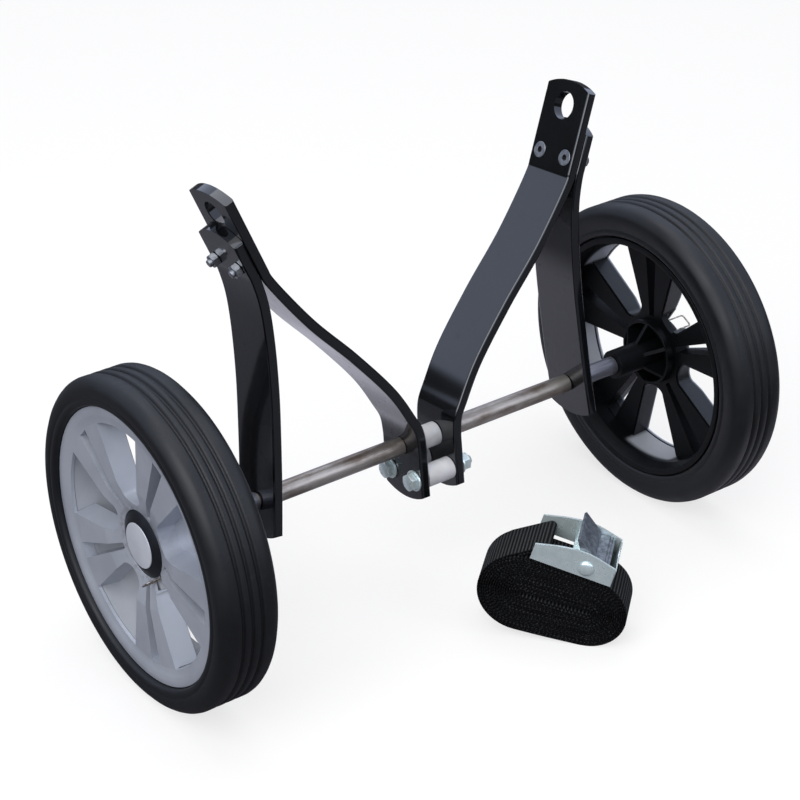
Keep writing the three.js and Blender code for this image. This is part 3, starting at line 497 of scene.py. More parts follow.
fifth = tau / windows
window_turns = [i * fifth for i in range(windows)]
slot_turns = [(i + 0.5) * fifth for i in range(windows)]
clip_turn = radians(-4.3)
notch_line = [(8.3, 0), (8.3, 37.15), (-8.3, 37.15), (-8.3, 0)]
wheel_steps = 150
core_barrel = rounded([
    (98.6, -24), (103.4, -24), (103.4, -20.5), (99.7, -20.5), (99.7, 12.5),
    (107, 12.5), (107, 15), (95, 15), (95, -14),
], 0.8)
core_web = [(96.2, -1.5), (96.2, 9), (26.75, 9), (26.75, -1.5)]
core_hub = rounded([
    (6.4, -45.5), (12, -45.5), (12, 2), (25.5, 2), (25.5, -9.5), (28, -9.5), (28, 5), (6.4, 5),
], 0.5)
ribs = 6
rib_half = 1.5
rib_line = [(9, -23), (26.75, -9.5), (26.75, 3.5), (9, 3.5)]
rib_faces = [(0, 1, 2, 3), (7, 6, 5, 4), (0, 4, 5, 1), (1, 5, 6, 2), (2, 6, 7, 3), (3, 7, 4, 0)]

spray_fade = (-0.003, 0.003)
spray_reach_right = 0.0085
spray_reach_left = 0.008
spray_reach_barrel = 0.019
window_phase_left = radians(-59)
window_phase_gain = radians(209)
nylon = Finish("black nylon", Specular_IOR_Level=0.14)
nylon_cloud = nylon.noise(45, 4)
nylon_grain = nylon.noise(1800, 2)
nylon_x, nylon_y, nylon_z, nylon_r, nylon_s = wheel_axes(nylon)
nylon_right = nylon_x.between(-0.01, 0.01)
window_wave = nylon_y.bearing(nylon_z) * windows + (
    window_phase_left + nylon_right * window_phase_gain
)
behind_window = window_wave.cosine().between(-0.05, 0.3)
barrel_wall = nylon_r.between(0.0935, 0.0945)
# painted shade: the right wheel's silver stays on the barrel behind the windows and stops 8.5 mm
# in, so its other walls stay black
right_spray_and_shade = behind_window * barrel_wall * (nylon_s + spray_reach_right).between(*spray_fade)
outward = nylon.axes(nylon.node("NewGeometry", output="Normal"))[0] * -1
left_level = nylon_s + spray_reach_left + barrel_wall * spray_reach_barrel
spray_left = outward.between(-0.6, -0.4) * left_level.between(*spray_fade)
spray_and_shade_by_side = spray_left + (right_spray_and_shade - spray_left) * nylon_right
overspray_and_shade = spray_and_shade_by_side * (1 - nylon_s.between(0.0152, 0.0158) * barrel_wall)
nylon_black = nylon.mix(nylon_cloud.between(0.3, 0.75), (4, 5, 6), (9, 11, 13))
nylon_silver = nylon.mix(nylon_cloud, (150, 154, 163), (166, 170, 178))
nylon.paint(overspray_and_shade, nylon_black, nylon_silver)
nylon.set("Roughness", 0.34 + nylon_cloud * 0.16 + nylon_grain * 0.08)
nylon.bump(nylon_grain + nylon_cloud * 2, 0.00006, 0.6)
for side in ("left", "right"):
    place = wheel_place(side)
    core = turned(f"moulded_core_{side}", core_barrel, wheel_steps, place)
    web = turned("web", core_web, wheel_steps, place)
    combine(
        web, "DIFFERENCE",
        prism("web_windows", window_line(-0.5, 1.8), -6, 14, place, window_turns,
              top=window_line(1.25, 1.8)),
        prism("web_slots", slot_line(0.2), -6, 14, place, slot_turns),
        prism("web_notch", notch_line, 5, 14, place, [clip_turn]),
    )
    hub = turned("hub", core_hub, wheel_steps, place)
    rib_walls = []
    for i in range(ribs):
        stood = (place @ Matrix.Rotation(tau * i / ribs, 4, "Y")
                 @ Matrix.Rotation(radians(90), 4, "Y"))
        corners = [(across, y, r) for across in (-rib_half, rib_half) for r, y in rib_line]
        rib_walls.append(shape("rib", corners, rib_faces, stood))
    combine(core, "UNION", web, hub, *rib_walls)
    dress(core, nylon, f"wheel_{side}", f"wheel_core_{side}", edge=0.4)


# Wheel covers
# The face of each wheel is a moulded cover, sprayed silver from outside. Its rim lies on the tyre's
# edge, its spokes lie a little deeper, and each window is a pocket whose walls reach to the web.
cover_face = rounded([
    (26.5, 12), (50, 17), (95, 18), (98, 18.7), (101, 19.7), (104, 20.3),
    (108.2, 20.4), (108.2, 18.1), (105.2, 17.9), (96.2, 15.5), (50, 14.5), (26.5, 9.5),
], 0.6)
cover_under = [(26.5, -0.4), (26.5, 10.75), (50, 15.75), (94.4, 16.75), (94.4, -0.4)]
pocket_wall = 1.5
pocket_draft = 1.8
face_from, face_low, face_rise, face_high = 0.0265, 0.012, 0.2128, 0.0175
paint_depth_left = 0.022
right_shade_depth = 0.0212
silver = Finish("silver paint", Metallic=0.4, Coat_Roughness=0.2, Coat_Weight=0.2)
silver_x, _, _, silver_r, silver_s = wheel_axes(silver)
silver_cloud = silver.noise(22, 3).between(0.3, 0.7)
silver_flake = silver.noise(2600, 1)
silver_right = silver_x.between(-0.01, 0.01)
face_level = ((silver_r - face_from) * face_rise + face_low).at_most(face_high)
# painted shade: on the right wheel the paint stops at the face, so its pocket walls show dark (9,
# 13, 16) where the left wheel's stay silver 22 mm deep
paint_and_shade_level = silver_s - face_level + paint_depth_left - silver_right * right_shade_depth
silver_face = silver.mix(silver_cloud, (170, 175, 186), (181, 186, 196))
silver_speck = silver.mix(silver_flake.between(0.62, 0.72) * 0.35, silver_face, (196, 198, 208))
hub_dirt = (1 - silver_r.between(0.027, 0.036)) * silver.noise(240, 4).between(0.4, 0.65)
silver_used = silver.mix(hub_dirt * 0.45, silver_speck, (112, 108, 106))
silver.paint(paint_and_shade_level.between(-0.0015, 0.0015), (9, 13, 16), silver_used)
silver.set("Roughness", 0.36 + silver_flake * 0.12 + silver_cloud * 0.06)
silver.bump(silver_flake * 0.5 + silver.noise(300, 2), 0.00004, 0.5)
for side in ("left", "right"):
    place = wheel_place(side)
    cover = turned(f"sprayed_cover_{side}", cover_face, wheel_steps, place)
    pockets = prism("pockets", window_line(pocket_wall - pocket_draft), -0.4, 20.4, place,
                    window_turns, top=window_line(pocket_wall))
    slot_walls = prism("slot_walls", slot_line(pocket_wall), 9.3, 20.4, place, slot_turns)
    for walls in (pockets, slot_walls):
        combine(walls, "INTERSECT", turned("under", cover_under, wheel_steps, place))
    combine(cover, "UNION", pockets, slot_walls)
    combine(
        cover, "DIFFERENCE",
        prism("holes", window_line(-pocket_draft, 0), -0.5, 20.5, place, window_turns,
              top=window_line(0)),
        prism("slots", slot_line(0), -0.5, 24, place, slot_turns),
        prism("clip_way", notch_line, -1.5, 24, place, [clip_turn]),
    )
    dress(cover, silver, f"wheel_{side}", f"wheel_cover_{side}", edge=0.5)


# Hub cones and caps
# A black cone closes each hub and hides the axle's end. A slit through it guides the wire clip, and
# a thin silver disc is pressed into its top.
def mottled(name, cloud, edges, tones, rough, grain, relief, **shader):
    """A finish that drifts between two tones and in gloss with one noise, raised by another."""
    finish = Finish(name, **shader)
    drift = finish.noise(*cloud)
    finish.paint(drift.between(*edges), *tones)
    finish.set("Roughness", rough[0] + drift * rough[1])
    finish.bump(finish.noise(*grain), *relief)
    return finish


cone_outline = rounded([
    (0, 10.9), (6.4, 10.9), (6.4, 5.3), (26.2, 5.3), (26.2, 11.7),
    (18.8, 15.5), (18.1, 15.5), (18.1, 14.2), (0, 14.2),
], 0.7)
slit_line = [(6.6, -4.2), (6.6, 32), (-6.6, 32), (-6.6, -4.2)]
cap_outline = rounded([(0, 14.5), (17.8, 14.5), (17.8, 15.8), (0, 15.8)], 0.4)
satin = mottled(
    "cone plastic", cloud=(60, 3), edges=(0.35, 0.7), tones=((9, 11, 16), (16, 19, 25)),
    rough=(0.3, 0.2), grain=(1600, 2), relief=(0.00004, 0.5), Specular_IOR_Level=0.3,
)
disc = mottled(
    "cap silver", cloud=(50, 3), edges=(0.3, 0.7), tones=((204, 208, 218), (215, 219, 228)),
    rough=(0.3, 0.14), grain=(900, 2), relief=(0.00003, 0.5),
    Metallic=0.3, Coat_Weight=0.2, Coat_Roughness=0.2,
)
for side in ("left", "right"):
    place = wheel_place(side)
    cone = turned(f"moulded_cone_{side}", cone_outline, wheel_steps, place)
    combine(cone, "DIFFERENCE", prism("slit", slit_line, 6.55, 8.45, place, [clip_turn]))
    dress(cone, satin, f"wheel_{side}", f"hub_cone_{side}", edge=0.25)
    cap = turned(f"pressed_cap_{side}", cap_outline, wheel_steps, place)
    dress(cap, disc, f"wheel_{side}", f"hub_cap_{side}")


# Axle clips
# Each wheel is held by a clip of bent spring wire. Its two legs straddle a groove of the axle's end
# inside the cone, and its loop stands out beside the cone, where fingers pull it.
def wire_line(corners, reach, steps=6):
    """A path of straight runs whose corners are turned with that reach."""
    corners = [Vector(corner) for corner in corners]
    points = [corners[0]]
    for before, corner, after in zip(corners, corners[1:], corners[2:]):
        points += bend(corner, before - corner, after - corner, reach, steps)
    return [*points, corners[-1]]


def tube_along(name, path, radius, sides, place):
    """A round wire with closed ends that follows a path, which leaves along z."""
    corners = []
    normal = Vector((1, 0, 0))
    for i, point in enumerate(path):
        run = (path[min(i + 1, len(path) - 1)] - path[max(i - 1, 0)]).normalized()
        normal = (normal - run * normal.dot(run)).normalized()
        other = run.cross(normal)
        for k in range(sides):
            angle = tau * k / sides
            corners.append(point + (normal * cos(angle) + other * sin(angle)) * radius)
    return shape(name, corners, skin(len(path), sides), place)


clip_half = 5.65
clip_leg = [(7.5, -3), (7.5, 28.5), (23.6, 28.5)]
clip_path = wire_line([
    *[(clip_half, y, z) for y, z in clip_leg],
    *[(-clip_half, y, z) for y, z in reversed(clip_leg)],
], 2.4)
wire_radius, wire_sides = 0.65, 12
spring = mottled(
    "spring wire", cloud=(400, 4), edges=(0.4, 0.68), tones=((176, 172, 166), (104, 84, 66)),
    rough=(0.32, 0.3), grain=(3000, 2), relief=(0.00003, 0.6), Metallic=0.9,
)
for side in ("left", "right"):
    place = wheel_place(side, clip_turn)
    bent_clip = tube_along(f"bent_clip_{side}", clip_path, wire_radius, wire_sides, place)
    dress(bent_clip, spring, f"clip_{side}", f"axle_clip_{side}")


# Saddle bars and uprights
# The frame is bent from flat bar, 50 by 8 mm, and powder coated gloss black. Each saddle bar runs
# from the middle plate up to the eye plate, and each upright runs down from there to the axle.
frame_lean = radians(-6.8)
frame_place = (
    Matrix.Translation(axle_centre) @ Matrix.Rotation(frame_lean, 4, "X") @ Matrix.Scale(mm, 4)
)
flip = Matrix.Scale(-1, 4, (1, 0, 0))
side_places = {"right": frame_place, "left": frame_place @ flip}
bar_reach, bar_rise = 137.2, 184
bar_half_gap = 12.9
bar_wall = 8
bar_half = 25
edge_round = 1.9
plate_slope = radians(21.3)
plate_run = Vector((sin(plate_slope), cos(plate_slope)))
plate_out = Vector((plate_run.y, -plate_run.x))
plate_start = Vector((bar_reach, bar_rise))
plate_length = 74
bar_foot = 43.5
foot_bulge, saddle_bulge, upright_bulge = 6, 6, 9.5
eye_up, eye_radius = 54, 11
axle_bore = 6.3
screw_spread, screw_up, screw_bore = 15, 15.5, 3.3
bolt_spread, bolt_down, bolt_bore = 16, 24.5, 4.3
saddle_knots, upright_knots = [
    [Vector((x * bar_reach, v * bar_rise)) for x, v in shares] for shares in (
        ((0.094, 0.022), (0.108, 0.109), (0.158, 0.185), (0.267, 0.326), (0.501, 0.543),
         (0.766, 0.761)),
        ((1.098, -0.152), (1.068, 0.054), (1.042, 0.272), (1.02, 0.516), (1.018, 0.761),
         (1.033, 0.897)),
    )
]


def eased(knots, steps):
    """A smooth line through knots, with that many stretches between two of them."""
    run = [knots[0] * 2 - knots[1], *knots, knots[-1] * 2 - knots[-2]]
    line = []
    for i in range(len(knots) - 1):
        p0, p1, p2, p3 = run[i:i + 4]
        d0, d1, d2 = [sqrt((b - a).length) for a, b in ((p0, p1), (p1, p2), (p2, p3))]
        start = ((p1 - p0) / d0 - (p2 - p0) / (d0 + d1) + (p2 - p1) / d1) * d1
        end = ((p2 - p1) / d1 - (p3 - p1) / (d1 + d2) + (p3 - p2) / d2) * d1
        for k in range(steps):
            t = k / steps
            cubed, squared = t ** 3, t ** 2
            line.append(p1 * (2 * cubed - 3 * squared + 1) + start * (cubed - 2 * squared + t)
                        + p2 * (3 * squared - 2 * cubed) + end * (cubed - squared))
    return [*line, knots[-1]]


def outboard(line):
    """The bar's outer face, one wall outboard of its inner face."""
    outer = []
    for i, point in enumerate(line):
        back = (point - line[max(i - 1, 0)]).normalized() if i else None
        on = (line[i + 1] - point).normalized() if i < len(line) - 1 else None
        run = ((back or on) + (on or back)).normalized()
        reach = bar_wall / max(run.dot(on or back), 0.5)
        outer.append(Vector((point.x + run.y * reach, point.y - run.x * reach)))
    return outer


def on_plate(point, direction):
    """Axes at a place on a bar: x across it and forward, y through it and outboard, z along it."""
    across, run = Vector((0, -1, 0)), Vector((direction.x, 0, direction.y))
    turn = Matrix((across, run.cross(across), run)).transposed().to_4x4()
    return Matrix.Translation((point.x, 0, point.y)) @ turn


def end_cutter(point, direction, bulge, place):
    """What is cut away beyond a bar's rounded end, drawn across the bar and along it."""
    radius = (bar_half ** 2 + bulge ** 2) / (bulge * 2)
    reach = asin(min((bar_half + bulge / 2) / radius, 1))
    past, through = 4, 14
    line = [(x, z - radius) for x, z in arc(radius, -reach, 24)]
    line += [(bar_half + past, past - bulge), (bar_half + past, past),
             (-bar_half - past, past), (-bar_half - past, past - bulge)]
    return prism("end", line, -through, through, place @ on_plate(point, direction))


def disc_line(radius, x=0, z=0, steps=48):
    angles = [tau * i / steps for i in range(steps)]
    return [(x + radius * sin(a), z + radius * cos(a)) for a in angles]


def along_axle(place, y, v):
    """Axes at a place across and up the frame, whose own y runs as the axle does."""
    return place @ Matrix.Translation((0, y, v)) @ facing_right


def axle_cutter(radius, y, v, place):
    return prism("bore", disc_line(radius), -300, 300, along_axle(place, y, v))


def plate_bore(radius, across, up, place):
    line = disc_line(radius, across, up)
    return prism("plate_bore", line, -40, 40, place @ on_plate(plate_start, plate_run))


def screw_bores(place):
    return [plate_bore(screw_bore, across, screw_up, place)
            for across in (-screw_spread, screw_spread)]


def screw_seat(across, place):
    """Axes where a screw's head meets the plate's inner face, y along the screw."""
    at_screw = Matrix.Translation((across, 0, screw_up))
    return place @ on_plate(plate_start, plate_run) @ at_screw


saddle_line = [
    Vector((bar_half_gap, -bar_foot)),
    *eased([
        Vector((bar_half_gap, -4)),
        *saddle_knots,
        plate_start,
        plate_start + plate_run * 4,
    ], 10),
    plate_start + plate_run * plate_length,
]
upright_start = plate_start + plate_out * (bar_wall + 0.3)
upright_line = [
    *eased([
        *upright_knots,
        upright_start + plate_run * 4,
        upright_start + plate_run * 12,
    ], 10),
    upright_start + plate_run * 45,
]
sink_outline = [(0, -4), (6.7, -4), (6.7, 0.15), (3.15, 3.7), (0, 3.7)]

coat = Finish("black powder coat", Coat_IOR=1.6, Coat_Roughness=0.06, Specular_IOR_Level=0.06)
coat_cloud = coat.noise(18, 4)
coat_peel = coat.noise(420, 2)
coat_dust = coat.noise(120, 6, 0.7).between(0.6, 0.78)
coat_colour = coat.mix(coat_cloud.between(0.3, 0.7), (6, 7, 9), (11, 13, 16))
coat.paint(coat_dust * 0.1, coat_colour, (44, 47, 50))
coat.set("Roughness", 0.22 + coat_cloud * 0.1 + coat_dust * 0.15)
coat.set("Coat Weight", 1 - coat_dust * 0.4)
coat.bump(coat_peel + coat_cloud * 3, 0.00006, 0.5)


def flat_bar(name, line, place):
    """A bar with its long edges rounded, as flat bar leaves the mill."""
    outline = [tuple(point) for point in [*line, *reversed(outboard(line))]]
    bar = prism(name, outline, -bar_half, bar_half, place)
    work = bmesh.new()
    work.from_mesh(bar.data)
    rims = [edge for edge in work.edges if len(edge.link_faces) == 2 and edge.calc_face_angle() > 1
            and any(len(face.verts) > 8 for face in edge.link_faces)]
    bmesh.ops.bevel(work, geom=rims, offset=edge_round * mm, segments=4, profile=0.5,
                    affect="EDGES", clamp_overlap=True)
    work.to_mesh(bar.data)
    work.free()
    return bar


def powder_coat(bar, node):
    """Dresses a cut bar, with normals that keep its flats flat up to the rounded edges."""
    dress(bar, coat, "frame", node, edge=0.6, sharp=60)
    bar.modifiers.new("normals", "WEIGHTED_NORMAL").keep_sharp = True


for side, place in side_places.items():
    saddle = flat_bar(f"bent_saddle_{side}", saddle_line, place)
    combine(
        saddle, "DIFFERENCE",
        end_cutter(saddle_line[-1], plate_run, saddle_bulge, place),
        end_cutter(saddle_line[0], Vector((0, -1)), foot_bulge, place),
        plate_bore(eye_radius, 0, eye_up, place),
        *screw_bores(place),
        turned("sink", sink_outline, 48, screw_seat(-screw_spread, place)),
        turned("sink", sink_outline, 48, screw_seat(screw_spread, place)),
        axle_cutter(axle_bore, 0, 0, place),
        axle_cutter(bolt_bore, -bolt_spread, -bolt_down, place),
        axle_cutter(bolt_bore, bolt_spread, -bolt_down, place),
    )
    powder_coat(saddle, f"saddle_bar_{side}")
    post = flat_bar(f"bent_upright_{side}", upright_line, place)
    foot_run = (upright_line[0] - upright_line[1]).normalized()
    combine(
        post, "DIFFERENCE",
        end_cutter(upright_line[-1], plate_run, upright_bulge, place),
        end_cutter(upright_line[0], foot_run, foot_bulge, place),
        *screw_bores(place),
        axle_cutter(axle_bore, 0, 0, place),
    )
    powder_coat(post, f"upright_{side}")


# Plate screws and their nuts
# Two countersunk stainless screws join each eye plate to its upright, with a plain hexagon nut
# outside. They sit flush with the plate, and their hexagon sockets are darkened as painted shade.
def hexagon(across_flats):
    return disc_line(across_flats / sqrt(3), steps=6)


def hex_blank(name, across_flats, low, high, place, both=True):
    """A hexagon block whose corners are turned off at its low end, or at both."""
    block = prism(name, hexagon(across_flats), low, high, place)
    corner, flat = across_flats / sqrt(3) + 0.4, across_flats / 2 - 0.2
    drop = (corner - flat) * tan(radians(30))
    outline = [(0, low), (flat, low), (corner, low + drop), (corner, high - drop),
               (flat if both else corner, high), (0, high)]
    combine(block, "INTERSECT", turned("turning", outline, 48, place))
    return block


def fasten(piece, finish, node, edge):
    dress(piece, finish, "frame", node, edge)


def hex_nut(name, across_flats, bore, low, height, place):
    nut = hex_blank(name, across_flats, low, low + height, place)
    combine(nut, "DIFFERENCE", prism("bore", disc_line(bore), 0, 60, place))
    return nut


screw_outline = [(0, 0), (6.2, 0), (6.4, 0.2), (3, 3.5), (3, 24), (2.6, 24.4), (0, 24.4)]
socket_flats, socket_depth = 4.6, 2.8
screw_nut_flats, screw_nut_foot, screw_nut_height = 10, 16.6, 5.2
stainless = mottled(
    "stainless steel", cloud=(300, 4), edges=(0.35, 0.7), tones=((176, 177, 178), (132, 134, 137)),
    rough=(0.26, 0.2), grain=(2400, 2), relief=(0.00003, 0.5), Metallic=1.0,
)
socket_shade = mottled(
    "shaded socket", cloud=(900, 4), edges=(0.3, 0.7), tones=((26, 26, 28), (52, 51, 52)),
    rough=(0.55, 0.25), grain=(900, 4), relief=(0.00005, 0.6), Metallic=0.4,
)
for side, place in side_places.items():
    for end, across in (("front", screw_spread), ("rear", -screw_spread)):
        seat = screw_seat(across, place)
        flush_screw = turned(f"flush_screw_{side}_{end}", screw_outline, 48, seat)
        combine(flush_screw, "DIFFERENCE",
                prism("socket", hexagon(socket_flats), -1, socket_depth, seat))
        fasten(flush_screw, stainless, f"screw_{side}_{end}", 0.12)
        # painted shade: the faces inside each hexagon socket take a dark finish
        flush_screw.data.materials.append(socket_shade.material)
        to_seat = seat.inverted()
        for face in flush_screw.data.polygons:
            middle = to_seat @ face.center
            if 0.05 < middle.y < 3 and hypot(middle.x, middle.z) < 2.6:
                face.material_index = 1
        nut = hex_nut(f"plain_nut_{side}_{end}", screw_nut_flats, screw_bore,
                      screw_nut_foot, screw_nut_height, seat)
        fasten(nut, stainless, f"screw_nut_{side}_{end}", 0.15)


# Middle bolts, washers and spacers
# Two M8 bolts hold the middle plates together on either side of the axle. White nylon spacers keep
# them apart, and the bolts, nuts and washers are zinc plated, with a slight blue.
def collar(name, inner, outer, low, high, soft, steps, place):
    """A ring of square section with softened edges."""
    ring = rounded([(inner, low), (outer, low), (outer, high), (inner, high)], soft)
    return turned(name, ring, steps, place)


zinc = mottled(
    "blue zinc plate", cloud=(140, 5, 0.65), edges=(0.3, 0.72),
    tones=((226, 240, 240), (212, 226, 228)),
    rough=(0.24, 0.08), grain=(300, 2), relief=(0.00002, 0.3), Metallic=0.6,
)
white = mottled(
    "white nylon", cloud=(70, 4), edges=(0.35, 0.75), tones=((206, 207, 212), (188, 188, 191)),
    rough=(0.45, 0.15), grain=(900, 3), relief=(0.00005, 0.5),
    Specular_IOR_Level=0.4, Subsurface_Weight=0.06, Subsurface_Scale=0.002,
)
outer_plate = bar_half_gap + bar_wall
bolt_flats, head_height, bolt_nut_height = 13, 5.3, 6.5
head_in = outer_plate + 2.1
bolt_outline = [(0, -head_in - 4), (4, -head_in - 4), (4, 31.5), (3.3, 32.7), (0, 32.7)]
washer_radius, washer_wall = 8.6, 1.5
sleeve_end = bar_half_gap - 0.3
for end, across in (("front", -bolt_spread), ("rear", bolt_spread)):
    seat = along_axle(frame_place, across, -bolt_down)
    shank = turned(f"hex_bolt_{end}", bolt_outline, 48, seat)
    combine(shank, "UNION",
            hex_blank("head", bolt_flats, -head_in - head_height, -head_in, seat, both=False))
    fasten(shank, zinc, f"bolt_{end}", 0.2)
    nut = hex_nut(f"lock_nut_{end}", bolt_flats, bolt_bore, head_in, bolt_nut_height, seat)
    fasten(nut, zinc, f"bolt_nut_{end}", 0.2)
    for washer_side, low in (("left", -outer_plate - 1.8), ("right", outer_plate + 0.3)):
        washer = collar(f"round_washer_{washer_side}_{end}", bolt_bore, washer_radius,
                        low, low + washer_wall, 0.25, 64, seat)
        fasten(washer, zinc, f"bolt_washer_{washer_side}_{end}", 0)
    spacer = collar(f"nylon_spacer_{end}", bolt_bore, 9, -sleeve_end, sleeve_end, 0.6, 96, seat)
    dress(spacer, white, "frame", f"spacer_{end}")


# Axle and its tubes
# A 12 mm steel rod runs through both wheels, with a groove near each end. Steel tubes keep the bars
# and uprights apart on it, aluminium ones keep the wheels off, and a white sleeve fills the middle.
axle_place = along_axle(frame_place, 0, 0)
rod_radius, rod_end, groove_floor = 6, 253, 4.7
groove_low, groove_high = 249.05, 250.95
right_end = [
    (rod_radius, groove_low), (groove_floor, groove_low), (groove_floor, groove_high),
    (rod_radius, groove_high), (rod_radius, rod_end - 0.8), (5.2, rod_end), (0, rod_end),
]
rod_outline = [(r, -y) for r, y in reversed(right_end)] + right_end
drawn = Finish("drawn steel", Metallic=0.7)
drawn_streak = drawn.noise(260, 5, 0.7, (0.06, 1, 1))
drawn_patch = drawn.noise(42, 4, 0.6, (0.5, 1, 1))
drawn_warm = drawn.mix(drawn_patch.between(0.38, 0.66), (172, 166, 160), (118, 104, 94))
drawn.paint(drawn_streak.between(0.5, 0.78) * 0.7, drawn_warm, (74, 62, 56))
drawn.set("Roughness", 0.26 + drawn_streak * 0.28)
drawn.bump(drawn_streak + drawn.noise(1800, 2) * 0.3, 0.00008, 0.5)
pale_streak = (240, 4, 0.6, (0.08, 1, 1))
pale = mottled(
    "short tube aluminium", cloud=pale_streak, edges=(0.35, 0.75),
    tones=((158, 158, 166), (112, 112, 120)),
    rough=(0.34, 0.22), grain=pale_streak, relief=(0.00005, 0.5), Metallic=0.9,
)
axle_rod = turned("drawn_axle", rod_outline, 64, axle_place)
dress(axle_rod, drawn, "frame", "axle_rod", sharp=30)
sleeve = collar("nylon_sleeve", axle_bore, 9.5, -sleeve_end, sleeve_end, 0.6, 96, axle_place)
dress(sleeve, white, "frame", "sleeve_centre")


def tube(name, cad_node, finish):
    """A tube on the axle, as long as the solid that it stands for."""
    start, end = [(corner.x - axle_centre.x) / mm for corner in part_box(cad_node)]
    spacing_tube = collar(name, axle_bore, 7.4, start, end, 0.3, 64, axle_place)
    dress(spacing_tube, finish, "frame", cad_node)


for side in ("left", "right"):
    tube(f"steel_tube_{side}", f"tube_long_{side}", drawn)
    tube(f"pale_tube_{side}", f"tube_short_{side}", pale)


# Strap webbing
# The tie-down strap is black polypropylene webbing, 38 mm wide, rolled by hand into a flattened
# coil. Its last turn leaves the roll, wraps the buckle's bar and is sewn back on itself.
strap_width, strap_wall = 38, 1.2
left_pitch, right_pitch = 1.92, 1.72
strap_loops = 18
roll_left, roll_right, roll_spacing = 35.5, 32, 53.2
roll_tilt = radians(-11.9)
strap_turn = radians(-48.25)
strap_near = (44.1, -154.2)
strap_drop = 1.26
strap_place = (
    Matrix.Translation(axle_centre + Vector((*strap_near, -tyre_radius - strap_drop)) * mm)
    @ Matrix.Rotation(strap_turn, 4, "Z") @ Matrix.Scale(mm, 4)
)


def along(heading):
    return Vector((cos(heading), sin(heading)))


def left_of(heading):
    return Vector((-sin(heading), cos(heading)))


right_centre = Vector((0, roll_right))
left_centre = right_centre - along(roll_tilt) * roll_spacing
buckle_slope = radians(-16)
buckle_run, buckle_up = along(buckle_slope), left_of(buckle_slope)
buckle_start = right_centre + buckle_up * (roll_right + 0.3) - buckle_run * 56.9
bar_along, bar_up, bar_radius = 9, 9, 2.2
sewn_gap, sewn_from, sewn_length = 0.5, 13, 7


def tangent_heading(start, start_radius, end, end_radius):
    """Heading of the line that leaves one circle and meets the next, both passed clockwise."""
    run = end - start
    return atan2(run.y, run.x) - asin((start_radius - end_radius) / run.length)


def clockwise(start, end):
    return (start - end) % tau


def roll_path(arc_steps=26, line_steps=8, bar_steps=10):
    """The band's middle line, wound outward round two centres, and on to its sewn end."""
    points = []
    outer_left, outer_right = roll_left - strap_wall / 2, roll_right - strap_wall / 2
    half = arc_steps + line_steps
    total = half * 2 * strap_loops
    out = tangent_heading(left_centre, roll_left, right_centre, roll_right)
    back = tangent_heading(right_centre, roll_right, left_centre, roll_left)
    bar = buckle_start + buckle_run * bar_along + buckle_up * bar_up
    wrap = bar_radius + 0.3 + strap_wall / 2
    leave = tangent_heading(left_centre, outer_left, bar, wrap)
    for step in range(half, total):
        inward = (total - step) / (half * 2)
        left = left_centre, outer_left - inward * left_pitch
        right = right_centre, outer_right - inward * right_pitch
        on_left = step % (half * 2) >= half
        centre, radius, start, end = (*left, back, out) if on_left else (*right, out, back)
        other, other_radius = right if on_left else left
        share = min(step % half / arc_steps, 1)
        heading = start - clockwise(start, end) * share
        on_last_arc = on_left and step >= total - half
        if on_last_arc and clockwise(back, heading) > clockwise(back, leave):
            break
        run = max(step % half - arc_steps, 0) / line_steps
        here = centre + left_of(heading) * radius
        there = other + left_of(heading) * other_radius
        points.append(here.lerp(there, run))
    points.append(left_centre + left_of(leave) * outer_left)
    homeward = -along(leave)
    sewn = bar + left_of(leave) * (wrap - strap_wall - sewn_gap) + homeward * sewn_from
    swing = clockwise(leave, tangent_heading(bar, wrap, sewn, 0))
    start, end = points[-1], bar + left_of(leave) * wrap
    points += [start.lerp(end, k / 10) for k in range(1, 10)]
    points += [bar + left_of(leave - swing * i / bar_steps) * wrap for i in range(bar_steps + 1)]
    start = points[-1]
    points += [start.lerp(sewn, k / 4) for k in range(1, 4)]
    return [*points, *[sewn + homeward * sewn_length * k / 2 for k in range(3)]]


def band(name, path, place):
    """A band on its edge along a path, with soft selvedges and a slight sway, and its length."""
    top, side_half, soft = strap_width, strap_wall / 2, 0.35
    section = [
        (soft, -side_half), (top / 2, -side_half), (top - soft, -side_half),
        (top, soft - side_half), (top, side_half - soft), (top - soft, side_half),
        (top / 2, side_half), (soft, side_half), (0, side_half - soft), (0, soft - side_half),
    ]
    count = len(section)
    corners, lengths = [], [0]
    for i, point in enumerate(path):
        back = (point - path[i - 1]).normalized() if i else (path[1] - path[0]).normalized()
        on = (path[i + 1] - point).normalized() if i < len(path) - 1 else back
        run = (back + on).normalized()
        side = Vector((-run.y, run.x)) / max(run.dot(back), 0.5)
        if i:
            lengths.append(lengths[-1] + (point - path[i - 1]).length)
        sway = 0.35 * sin(lengths[-1] / 41) + 0.25 * sin(lengths[-1] / 13 + 1)
        for y, t in section:
            rise = max(point.y + side.y * t, strap_drop)
            corners.append((point.x + side.x * t, y + sway, rise))
    made = shape(name, corners, skin(len(path), count), place)
    weave = made.data.uv_layers.new(name="weave")
    for face in made.data.polygons:
        for loop in face.loop_indices:
            corner = made.data.loops[loop].vertex_index
            ring = min(corner // count, len(lengths) - 1)
            weave.data[loop].uv = (section[corner % count][0] * mm, lengths[ring] * mm)
    return made, lengths[-1]


